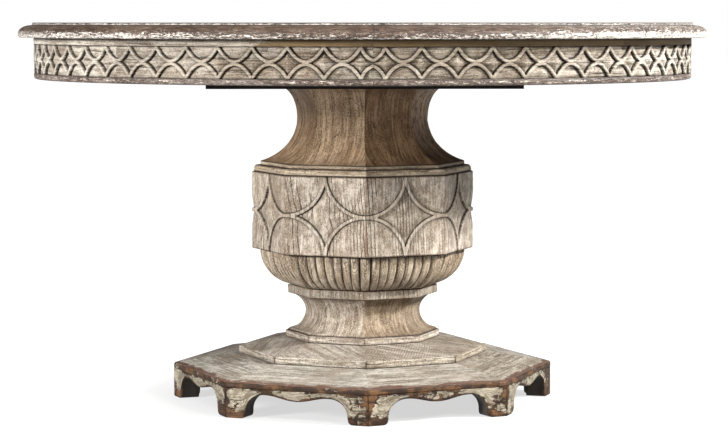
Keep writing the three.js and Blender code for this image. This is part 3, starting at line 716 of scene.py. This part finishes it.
def camera_and_light():
    data = bpy.data.cameras.new("camera")
    data.lens = 117.5
    data.sensor_width = 36
    camera = bpy.data.objects.new("camera", data)
    azimuth, pitch, away, up = math.radians(-1.6), math.radians(-4.81), 4.79, 0.755
    aim_right = 0.0006
    camera.location = (away * math.sin(azimuth), -away * math.cos(azimuth), up)
    camera.rotation_euler = (math.pi / 2 + pitch, 0, azimuth - aim_right)
    bpy.context.scene.collection.objects.link(camera)
    bpy.context.scene.camera = camera

    def softbox(name, azimuth, elevation, away, size, energy, tint=(1, 1, 1)):
        """A light seen from the table at an azimuth (0 in front, 90 on the right) and elevation."""
        light = bpy.data.lights.new(name, "AREA")
        light.shape = "RECTANGLE"
        light.size, light.size_y = size
        light.energy = energy
        light.color = tint
        lamp = bpy.data.objects.new(name, light)
        azimuth, elevation = math.radians(azimuth), math.radians(elevation)
        flat = math.cos(elevation)
        towards = Vector((math.sin(azimuth) * flat, -math.cos(azimuth) * flat, math.sin(elevation)))
        lamp.location = Vector((0, 0, 0.45)) + towards * away
        lamp.rotation_euler = (-towards).to_track_quat("-Z", "Y").to_euler()
        bpy.context.scene.collection.objects.link(lamp)

    softbox("key_left", -50, 12, 4.2, (0.8, 0.6), 410)
    softbox("key_right", 68, 31, 4.2, (0.4, 0.4), 590, (0.96, 0.98, 1.0))
    softbox("front_right", 36, 27, 4.2, (0.7, 0.5), 190, (1.0, 0.95, 0.86))
    softbox("front_high", -30, 48, 3.6, (1.4, 1.0), 55)
    softbox("rear", 150, 40, 4.2, (2.5, 2.0), 45)

    # A white band round the horizon, and grey above and below it.
    world = bpy.data.worlds.new("studio")
    g = Graph(world)
    height = g.node("SeparateXYZ", {"Vector": g.node("TexCoord", {})}, output=2)
    low = g.step(g.math("ABSOLUTE", height), 0.20, 0.08)
    g.shader({"Color": g.mix(low, (0.12, 0.12, 0.12, 1), (1, 1, 1, 1))}, "Background")
    bpy.context.scene.world = world
    bpy.context.scene.view_settings.view_transform = "Standard"


def floor():
    """White paper that glows, less so under the table as a painted shadow there, and a little less in front of it."""
    reach = 40
    mesh = bpy.data.meshes.new("floor")
    corners = [(-reach, -reach, 0), (reach, -reach, 0), (reach, reach, 0), (-reach, reach, 0)]
    mesh.from_pydata(corners, [], [(0, 1, 2, 3)])
    ground = bpy.data.objects.new("floor", mesh)
    ground.location.z = -0.0005
    g = new_graph("floor_paper")
    place = g.solid()
    from_table = g.node("VectorMath", {0: place}, output=1, operation="LENGTH")
    from_patch = g.node("VectorMath", {0: place, 1: (0, -3.6, 0)}, output=1, operation="DISTANCE")
    dimmed = g.step(from_patch, 3.0, 1.0)
    # painted shadow: the paper glows less near the table
    glow = g.add(g.times(g.step(from_table, 0.25, 0.72), 0.36), 0.64)
    g.shader({"Base Color": (0.12, 0.12, 0.12, 1), "Roughness": 0.9, "Emission Color": (1, 1, 1, 1),
              "Emission Strength": g.times(glow, g.math("MULTIPLY_ADD", dimmed, -0.4, 1.0))})
    mesh.materials.append(g.owner)
    bpy.context.scene.collection.objects.link(ground)


camera_and_light()
floor()


# ---- top

TOP_BOTTOM, TOP_HEIGHT, TOP_RADIUS = extent("right_top_moulding")
PANEL_RADIUS = extent("right_top_panel")[2]
APRON_LOW, APRON_HIGH, APRON_RADIUS = extent("right_apron")
APRON_INNER = APRON_RADIUS - 24
APRON_BAND_LOW = APRON_HIGH - 13 # the foot of the plain strip above the carving
BEAD_LOW, BEAD_HIGH = extent("right_apron_bead")[:2]
ARCHES = 31 # full arches in each half
ARCH_TURN = 0.0993 # turn between arches, in radians
SEAM_ARCH = (math.pi - ARCHES * ARCH_TURN) / 2 # half the narrow arch at a seam
ARCH_BAND = 6.2
PLANKS = 9
GROOVE_AT, GROOVE = (0, 0.9, 1.8, 3.4), (-1.4, -0.7, -0.15, 0) # distances from its middle, and heights there


def top_moulding(side):
    """Half of the rounded edge, with a small step where the flat top ends."""
    inner = PANEL_RADIUS + 0.3
    flat_end = TOP_RADIUS - 28
    shoulder = TOP_HEIGHT - 5
    nose = TOP_BOTTOM + 7
    seed = {"left": 3, "right": 9}[side]
    # how much paler each side of the rim is painted: partly rubbed paint, partly painted light
    paling = {"left": 0.48, "right": 0.85}[side]
    foot = [(TOP_RADIUS - 4, TOP_BOTTOM), (TOP_RADIUS - 1.2, TOP_BOTTOM + 1.2), (TOP_RADIUS, TOP_BOTTOM + 4)]
    quarter = arc((flat_end + 2, nose), (TOP_RADIUS - flat_end - 2, shoulder - nose), nose, shoulder, 1, 12)
    fillet = [(flat_end + 0.6, shoulder + 0.2), (flat_end, shoulder + 1), (flat_end - 0.3, TOP_HEIGHT - 0.7),
              (flat_end - 1.2, TOP_HEIGHT)]
    flat = refined([fillet[-1], (inner + 1, TOP_HEIGHT)], 8)[1:]
    rest = [(inner, TOP_HEIGHT - 1), (inner, TOP_BOTTOM), (APRON_RADIUS + 1, TOP_BOTTOM)]
    profile = np.concatenate([refined(foot + quarter, 2.2), refined(fillet, 0.8), flat, rest])

    def relief(turn, radius, height):
        x, y = radius * np.cos(turn), radius * np.sin(turn)
        shown = height > TOP_BOTTOM + 0.5
        dents = ease(fractal(x, y, height, 26, seed), 0.25, 0.8) * 0.9
        low_edge = bump(height - TOP_BOTTOM - 1, 4) * (radius > TOP_RADIUS - 6)
        nicks = low_edge * ease(fractal(x, y, height, 9, seed + 5), 0.1, 0.6) * 1.6
        pale = (1 - ease(height, TOP_BOTTOM + 5, TOP_BOTTOM + 17)) * (radius > flat_end + 1)
        # paler towards the sides, most on the right: rubbed paint and painted light where the lamps catch the rim
        pale = pale + ease(y, 120, 460) * paling
        pale = np.maximum(pale, 1.45 * bump(height - TOP_BOTTOM - 1.3, 1.7))
        at_fillet = bump(radius - flat_end, 2.2)
        # a pale line at the foot of the fillet: painted highlight
        pale = np.maximum(pale, 1.9 * bump(height - TOP_HEIGHT + 2.9, 1.3) * at_fillet)
        # dark lines in the step's corners: grime and painted shade
        step_grime_and_shade = np.maximum(bump(height - shoulder - 0.2, 1.3), bump(height - TOP_HEIGHT, 1.5)) * at_fillet
        return -(0.15 + dents + nicks) * shown * (radius > inner + 6), 1.1 * step_grime_and_shade, pale

    half_ring("top_moulding", side, profile, 420, material=rim_wood, relief=relief, boards=5)


def apron(side):
    """Half of the curved apron, carved with arches that cross at mid-height."""
    seed = {"left": 21, "right": 33}[side]
    rows = refined([(APRON_RADIUS, APRON_LOW), (APRON_RADIUS, APRON_HIGH)], 1.1)
    profile = np.concatenate([rows, [(APRON_INNER, APRON_HIGH), (APRON_INNER, APRON_LOW)]])
    tall = APRON_BAND_LOW - APRON_LOW
    rise = tall / 2 - ARCH_BAND / 2 + 0.8
    half_pitch = APRON_RADIUS * ARCH_TURN / 2

    def relief(turn, radius, height):
        from_seam = np.minimum(turn, math.pi - turn)
        cell = np.clip(np.floor((turn - SEAM_ARCH) / ARCH_TURN), 0, ARCHES - 1)
        x = (turn - SEAM_ARCH - (cell + 0.5) * ARCH_TURN) * APRON_RADIUS
        z = height - APRON_LOW
        full = steep_arch_distance(x, z, tall, half_pitch, rise)
        at_seam = arch_distance(from_seam * APRON_RADIUS, z, tall, SEAM_ARCH * APRON_RADIUS, rise,
                                arch_radius(half_pitch, rise))
        distance = np.where(from_seam < SEAM_ARCH, at_seam, full)
        cut, grime_and_shade = carve(distance, z, tall, ARCH_BAND)
        outside = radius > APRON_INNER + 5
        in_field = (height < APRON_BAND_LOW) & outside
        cut = np.where(in_field, cut * (1 - ease(height, APRON_BAND_LOW - 0.4, APRON_BAND_LOW + 0.4)), 0)
        uneven = fractal(APRON_RADIUS * np.cos(turn), APRON_RADIUS * np.sin(turn), height, 22, seed) * 0.3 - 0.3
        # dark wax and painted shade along the foot of the plain strip inside each arch, under the rim and at the bead
        line = bump(height - APRON_BAND_LOW, 1.3) * (distance < 0)
        grime_and_shade = np.where(in_field, more_grime_and_shade(grime_and_shade, 0.9 * line), 0.7 * bump(height - APRON_HIGH, 4))
        grime_and_shade = more_grime_and_shade(grime_and_shade, 0.4 * bump(z, 2))
        # browner plain strip over the right half and near the front of the left half: worn brown wood and painted
        # shadow of the rim
        browner_and_shaded = 1.0 if side == "right" else 0.25 + 0.75 * ease(turn, math.pi - 0.5, math.pi - 0.15)
        return (cut + uneven) * outside, grime_and_shade, browner_and_shaded * ease(height, APRON_BAND_LOW - 0.5, APRON_BAND_LOW + 0.5)

    # painted shade: darker towards the front and back seams, and painted light towards the sides
    def painted_shade(turn):
        return 0.13 - 0.2 * ease(np.sin(turn), 0.35, 1.0)

    half_ring("apron", side, profile, 2000, material=apron_wood, relief=relief, boards=4,
              sharp=70, painted_shade=painted_shade)


def apron_bead(side):
    """Half of the worn bead under the apron."""
    seed = {"left": 41, "right": 57}[side]
    outside = [(APRON_RADIUS - 5, BEAD_LOW), (APRON_RADIUS - 2, BEAD_LOW + 0.8), (APRON_RADIUS - 0.6, BEAD_LOW + 2.5),
               (APRON_RADIUS, BEAD_LOW + 5), (APRON_RADIUS, BEAD_HIGH - 2.5), (APRON_RADIUS - 1.2, BEAD_HIGH)]
    profile = np.concatenate([refined(outside, 1.6), [(APRON_INNER, BEAD_HIGH), (APRON_INNER, BEAD_LOW)]])

    def relief(turn, radius, height):
        nicks = ease(fractal(radius * np.cos(turn), radius * np.sin(turn), height, 12, seed), 0.15, 0.7) * 1.3
        grime_and_shade = 0.8 * bump(height - BEAD_HIGH, 1.2) + 0.5 * bump(height - BEAD_LOW, 1.2)
        return -(nicks + 0.2) * (radius > APRON_INNER + 5), grime_and_shade, bump(height - (BEAD_LOW + BEAD_HIGH) / 2, 4)

    half_ring("apron_bead", side, profile, 900, material=bead_paint, relief=relief, boards=4)


def panel(side):
    """Half of the flat top: planks running away from the seam, with a small groove between them."""
    sign = SIDES[side]
    low, high = extent(f"{side}_top_panel")[:2]
    width = 2 * PANEL_RADIUS / PLANKS
    on_plank = np.array([*GROOVE_AT, *np.linspace(8, width - 8, 9), *(width - p for p in GROOVE_AT[:0:-1])])
    board = np.repeat(np.arange(PLANKS), len(on_plank))
    on_plank = np.append(np.tile(on_plank, PLANKS), 0)[:, None]
    across = np.append(board, PLANKS)[:, None] * width + on_plank - PANEL_RADIUS
    to_groove = np.minimum(on_plank, width - on_plank)
    reach = np.sqrt(np.maximum(PANEL_RADIUS**2 - across**2, 4.0))
    x = SEAM + (reach - SEAM) * np.linspace(0, 1, 60)
    y = np.broadcast_to(across, x.shape)
    wavy = fractal(x, y, 0, 70, {"left": 61, "right": 67}[side]) * 0.35 - 0.35
    top = high + np.interp(to_groove, GROOVE_AT, GROOVE) + wavy

    def there_and_back(below, above):
        """Rows going out along the underside and back along the top."""
        below, above = (np.broadcast_to(values, x.shape) for values in (below, above))
        return np.concatenate([below, above[:, ::-1]], 1)

    attributes = {"grime_and_shade": there_and_back(0, 0.95 * bump(to_groove, 1.6)),
                  "wear_and_light": there_and_back(0, bump(to_groove - 4, 3))}
    z = there_and_back(low, top)
    u, v = there_and_back(x, x), there_and_back(y, y)
    uvs = grain_uvs(at_corners(u[:-1], u[1:]), at_corners(v[:-1], v[1:]), board + (11 if sign > 0 else 0))
    grid_piece(f"{side}_top_panel", np.stack([sign * u, sign * v, z], -1), uvs, attributes, body=f"{side}_top",
               material=top_wood, sharp=50)


for side in SIDES:
    top_moulding(side)
    apron(side)
    apron_bead(side)
    panel(side)


# ---- pedestal

GADROONS = 7 # on each facet, with a wider one on each corner
CORNER_SHARE = 0.19 # of a facet's half width, taken by half a corner gadroon
GADROON_TIP, GADROON_END = 9, 5 # how far a gadroon takes to swell at its lower and upper end


def neck_piece():
    """The neck, scraped on its left front facet and pitted all round."""
    low, high = extent("neck")[:2]

    def relief(facet, across, half, along, height):
        scrape = bump(across * 0.8 - (height - 520) * 0.45 + 12, 5) * bump(height - 525, 22) * (facet == 7)
        marks = scrape * ease(np.sin(height * 1.1 + across * 0.5), 0.2, 0.9)
        x, y = across + 500 * facet, height
        pits = ease(fractal(x, y * 0.6, 0, 5, 77), 0.22, 0.5) * ease(fractal(x, y * 0.5, 0, 60, 78), -0.1, 0.35)
        # darker band along the top of the neck: painted shadow of the table top, beside the scrape marks and pits
        grime_and_shade = np.maximum(0.85 * marks, 0.8 * pits) + 0.35 * bump(high - height, 14)
        return -0.8 * marks - 1.1 * pits, grime_and_shade, 0

    outside = waisted(low, high, waist=(132, 565), down=(107, 91.6), up=(37, 62), steps=(30, 20))
    # painted light on the left front facet, painted shade on the right front and right facets
    octagon_piece("neck", outside, per_facet=44, material=neck_wood, relief=relief,
                  corner_round=2, uneven=0.5, chips=0.6, edge_wear=0.5, painted_shades={7: -0.34, 0: 0.28, 1: 0.2})


def collar_piece():
    """The moulding under the neck: an ovolo and a fillet."""
    low, high, foot = extent("collar_moulding")
    ovolo, fillet, top = 214, 206, high - 7.6
    outside = [(foot - 1, low), (foot, low + 1.5)]
    outside += arc((ovolo, low + 3), (foot - ovolo, top - low - 3), low + 3, top, 1, 8)
    outside += [(fillet + 0.6, top + 0.2), (fillet, top + 0.9), (fillet, high - 1), (fillet - 1, high)]

    def relief(facet, across, half, along, height):
        return 0, 0.9 * bump(height - top, 1.2), 0

    octagon_piece("collar_moulding", outside, per_facet=60, material=collar_wood, spacing=1.6,
                  relief=relief, grain="across", corner_round=2.5, chips=1.2, uneven=0.4)


def drum_piece():
    """The drum, carved with large arches that meet on its corners."""
    low, high, radius = extent("drum")
    tall = high - low

    def relief(facet, across, half, along, height):
        distance = arch_distance(half - np.abs(across), height - low, tall, radius * SIN_HALF, tall / 2)
        off = np.abs(distance) - 3.4
        star = -5.8 + np.minimum(0.24 * np.maximum(off, 0), 5.4)
        field = np.where(distance > 0, star, -4.0 + 3.8 * ease(off, 0, 30))
        # dark wax and painted shade in the hollows beside the bands; below 0 on the bands, which are painted paler as
        # a rubbed wash and a highlight
        grime_and_shade = np.maximum(1.15 * bump(off - 0.5, 0.85) * (off > -0.2), 0.2 * bump(off - 1.5, 3) * (off > 0))
        return field * ease(off, -0.4, 0.9), np.clip(grime_and_shade - 0.3 * (off < -0.7), -1, 1), 0

    outside = upright(low, high, radius, foot=1.5, top=1.5, edge=1.5, eased=1)
    # painted shade on the left facet, a little painted light on the right front and right facets
    octagon_piece("drum", outside, per_facet=140, material=drum_wood, spacing=1.25,
                  painted_shades={6: 0.08, 0: -0.02, 1: -0.04}, relief=relief, corner_round=2.0, chips=1.2, uneven=0.3,
                  sharp=60)


def bowl_piece():
    """The bowl: a close row of rounded gadroons, rounded off at their lower ends."""
    low, high, rim = extent("gadroon_bowl")
    wide, tall = 75, 74
    outside = arc((rim - wide, high), (wide, tall), low, high, 1, 30)
    outside[-1] = (rim, high)
    total = lengths(refined(outside, 2))[-1]

    def relief(facet, across, half, along, height):
        place = np.abs(across) / half
        on_corner = place > 1 - CORNER_SHARE
        lobe = (across / half + (1 - CORNER_SHARE)) / (2 * (1 - CORNER_SHARE)) * GADROONS
        x = np.where(on_corner, (1 - place) / CORNER_SHARE, (lobe - np.floor(lobe)) * 2 - 1)
        width = np.where(on_corner, CORNER_SHARE * 2, 2 * (1 - CORNER_SHARE) / GADROONS) * half
        swell = np.sqrt(np.maximum(1 - np.abs(x) ** 2.1, 0))
        tip = np.sqrt(np.clip(1 - ((GADROON_TIP - along) / GADROON_TIP).clip(0, 1) ** 2, 0, 1))
        end = np.sqrt(np.clip(1 - ((along - total + GADROON_END) / GADROON_END).clip(0, 1) ** 2, 0, 1))
        rise = swell * tip * (0.35 + 0.65 * end)
        # dark between the gadroons: grime and painted shade in the grooves
        return -0.48 * width * (1 - rise), 1.4 * (1 - ease(rise, 0.15, 0.55)), 0

    # painted shade on the right front and right facets
    octagon_piece("gadroon_bowl", outside, per_facet=127, material=bowl_wood, spacing=2.2,
                  relief=relief, corner_round=12, uneven=0.2, edge_wear=0, sharp=180, painted_shades={0: 0.06, 1: 0.2})


def astragal_piece():
    outside = upright(*extent("astragal"), foot=3, top=5, edge=1, eased=1.2)
    octagon_piece("astragal", outside, per_facet=40, material=band_wood, spacing=2, chips=1.3,
                  uneven=0.5, corner_round=2)


def cove_piece():
    """The second, smaller neck."""
    low, high = extent("lower_cove")[:2]
    foot, fillet = 152.0, 3.6
    hollow = waisted(low + fillet, high, waist=(116, 176), down=(36, 36.5), up=(50, 38), steps=(22, 22))
    # painted light on the left front facet, painted shade on the right front and right facets
    octagon_piece("lower_cove", [(foot, low)] + hollow, per_facet=36, material=cove_wood,
                  spacing=3, chips=0.8, uneven=0.5, corner_round=3, edge_wear=0.4,
                  painted_shades={7: -0.08, 0: 0.34, 1: 0.32})


def plinth_piece():
    """The plain band under the lower cove, with an open joint at every other corner."""
    def relief(facet, across, half, along, height):
        gap = bump(half - np.abs(across), 1.1) * (facet % 2 == 1)
        return -1.2 * gap, 0.9 * gap, 0

    outside = upright(*extent("cove_plinth"), foot=1, top=3, edge=1, eased=1)
    octagon_piece("cove_plinth", outside, per_facet=60, material=plinth_wood, spacing=2,
                  chips=1.4, uneven=0.5, corner_round=1.5, grain="across", relief=relief)


def tier(name, material, *, inner, edge_top, turn, chips, brown, open_joints, edge_material, edge_bare):
    """A low tier with a thin upright edge, up to edge_top, and a top that slopes up to the radius inner.

    brown is how worn the top's rim is, edge_bare how worn the edge, and open_joints how far its joints gape.
    """
    low, high, radius = extent(name)
    outside = rounded([(radius - 1.5, low), (radius, low + 1.5), (radius, edge_top - 1.5),
                       (radius - 3, edge_top + 0.5), (inner, high)], 2)

    def relief(facet, across, half, along, height):
        on_top = height > edge_top
        to_mitre = half - np.abs(across)
        gap = bump(to_mitre, 1.5) * (~on_top) * open_joints
        from_edge = (height - edge_top) / (high - edge_top)
        wandering = noise(across, along, facet * 40, 26, 5) * 0.5 + 0.5
        worn = bump(np.maximum(from_edge, 0), 0.22 * (0.4 + wandering)) * brown
        return -1.5 * gap, 0.08 * bump(to_mitre, 0.8) * on_top + gap, np.where(on_top, worn, edge_bare)

    # painted shade on the right front and right facets
    piece = octagon_piece(name, outside, per_facet=64, material=material, spacing=3.5,
                          chips=chips, uneven=0.6, corner_round=2, grain="across", relief=relief,
                          turn=lambda height: np.where(height > edge_top, turn, 0), edge_wear=0.5,
                          painted_shades={0: 0.08, 1: 0.2}, joints=(edge_bare < 0.5, False))
    piece.data.materials.append(edge_material)
    centres = np.empty(len(piece.data.polygons) * 3, np.float32)
    piece.data.polygons.foreach_get("center", centres)
    on_edge = centres.reshape(-1, 3)[:, 2] < (edge_top - 1) / 1000
    piece.data.polygons.foreach_set("material_index", on_edge.astype(np.int32))


neck_piece()
collar_piece()
drum_piece()
bowl_piece()
astragal_piece()
cove_piece()
plinth_piece()
tier("step_tier", step_wood, inner=157.5, edge_top=103.7, turn=42, chips=1.6, brown=0.15, open_joints=1.0,
     edge_material=edge_wood, edge_bare=0.0)
tier("base_top", base_wood, inner=255.5, edge_top=68.5, turn=0, chips=1.4, brown=0.95, open_joints=0.6,
     edge_material=foot_paint, edge_bare=0.75)


# ---- boards with bracket feet

FOOT_WIDE = 42
FOOT_CORNER = 13
BOARD_THICK = 40
BASE_RADIUS = extent("base_top")[2]
HALF_BOARD = BASE_RADIUS * SIN_HALF - 0.25
MIDDLE = 38.2 # height of the lower edge in the middle of a board
APEX_AT, APEX = BASE_RADIUS * SIN_HALF - 81.5, 47.5 # place and height of the top of the arch beside a foot


def bezier(a, b, c, d, steps):
    t = np.linspace(0, 1, steps + 1)[:, None]
    a, b, c, d = (np.array(p, float) for p in (a, b, c, d))
    return (1 - t) ** 3 * a + 3 * (1 - t) ** 2 * t * b + 3 * (1 - t) * t**2 * c + t**3 * d


def board_underside():
    """The lower edge of a board from end to end: in each half a drop, an arch, and a round-cornered foot."""
    foot = HALF_BOARD - FOOT_WIDE
    wave = bezier((0, MIDDLE), (25, MIDDLE), (APEX_AT - 24, APEX), (APEX_AT, APEX), 22)
    arch = bezier((APEX_AT, APEX), (APEX_AT + 24, APEX), (foot, 32), (foot, FOOT_CORNER), 26)
    toe = bezier((foot, FOOT_CORNER), (foot, 3), (foot + 3, 0), (foot + FOOT_CORNER, 0), 6)
    sole = np.linspace((foot + FOOT_CORNER, 0), (HALF_BOARD, 0), 12)
    half = np.concatenate([wave, arch[1:], toe[1:], sole[1:]])
    return np.concatenate([half[::-1] * [-1, 1], half[1:]])


def foot_board(number):
    """One of the boards round the base, mitred at its ends.

    Its rows go up the front, over the top, down the back and along the underside. up is how far each
    row is from the lower edge to the top, 0 to 1, and deep how far from the front to the back.
    """
    name = f"foot_board_{number}"
    top = extent(name)[1]
    under = board_underside()
    run = lengths(under)
    above = np.stack([(run / run[-1] * 2 - 1) * HALF_BOARD, np.full(len(run), top)], -1)
    front = [(t, 0) for t in (0, 0.015, 0.045, *np.linspace(0.1, 0.97, 13), 1)]
    back = [(t, 1) for t in (1, 0.66, 0.33, 0)]
    below = [(0, d) for d in (0.85, 0.6, 0.35, 0.15, 0.05)]
    up, deep = np.array([*front, (1, 0.5), *back, *below], float).T
    face = up[:, None]
    x, z = np.moveaxis(under[:, None, :] * (1 - face) + above[:, None, :] * face, -1, 0)
    depth = deep * BOARD_THICK
    mitred = np.clip((np.abs(x) - HALF_BOARD + FOOT_WIDE) / FOOT_WIDE, 0, 1)
    x = x - np.sign(x) * depth * math.tan(EIGHTH / 2) * mitred
    above_edge = up * (top - under[:, 1:])
    from_end = HALF_BOARD - np.abs(x)
    is_front = deep == 0
    edge = np.maximum(bump(above_edge, 4), bump(from_end, 5))
    seed = 100 + number
    nicks = ease(fractal(x, z, number * 50, 12, seed), 0.0, 0.6)
    push = 0.4 + 0.35 * fractal(x, z, number * 50, 40, seed + 3) + 1.7 * edge * nicks
    z = z + bump(above_edge, 1.2) * is_front * (z > 3) * (z < top - 3)
    roll = 1.4 * bump(above_edge, 1.0) * (z < top - 3) + 1.0 * bump(from_end, 1.4)
    depth = depth + (push + roll) * is_front
    angle = -math.pi / 2 + EIGHTH * (number - 0.5)
    out = BASE_RADIUS * COS_HALF - depth
    points = np.stack([out * math.cos(angle) - x * math.sin(angle), out * math.sin(angle) + x * math.cos(angle), z],
                      -1)
    down = np.where(np.arange(len(up)) < len(front), up * 57, 60 + 10 * np.arange(len(up)))
    uvs = grain_uvs(at_corners(x[:-1], x[1:]), rows_at_corners(down, down[-1] + 8), 20 + number)
    grime_and_shade = np.clip(bump(from_end, 1.3) * is_front + 0.7 * ease(deep, 0.5, 1), 0, 1)
    brown_top = 0.35 * bump(top - z, 5) + 0.6 * bump(from_end, 9 + 5 * noise(z, number, 0, 15, 3))
    wear_and_light = np.clip(np.maximum.reduce([0.7 * edge, brown_top, 0.85 * bump(z, 15)]), 0, 1)
    attributes = {"grime_and_shade": grime_and_shade, "wear_and_light": wear_and_light, "inside": ease(deep, 0.02, 0.12), "depth": depth / 1000}
    grid_piece(name, points, uvs, attributes, body="pedestal", material=foot_paint, sharp=45)


for number in range(1, 9):
    foot_board(number)


# ---- pieces that keep their CAD shape


def keep_shape(name, material, bevel):
    piece = frame["nodes"][name]
    piece.data.materials.clear()
    piece.data.materials.append(material)
    eased = piece.modifiers.new("eased_edges", "BEVEL")
    eased.width = bevel / 1000
    eased.segments = 2
    eased.limit_method = "ANGLE"
    eased.angle_limit = math.radians(35)
    eased.harden_normals = True


KEPT = {"hardware_steel": (zinc, 0.3), "nylon": (nylon, 0.3), "dark_wood": (plate_wood, 1.5)} # with their bevels

for row in frame["record"]["subparts"]:
    name, slot = row["node"], row["material_slot"]
    if slot == "slide_wood":
        along_y = "cross_member" in name or "bridge" in name
        keep_shape(name, slide_wood_y if along_y else slide_wood_x, 0.3 if "dowel" in name else 1.0)
    elif slot in KEPT:
        keep_shape(name, *KEPT[slot])
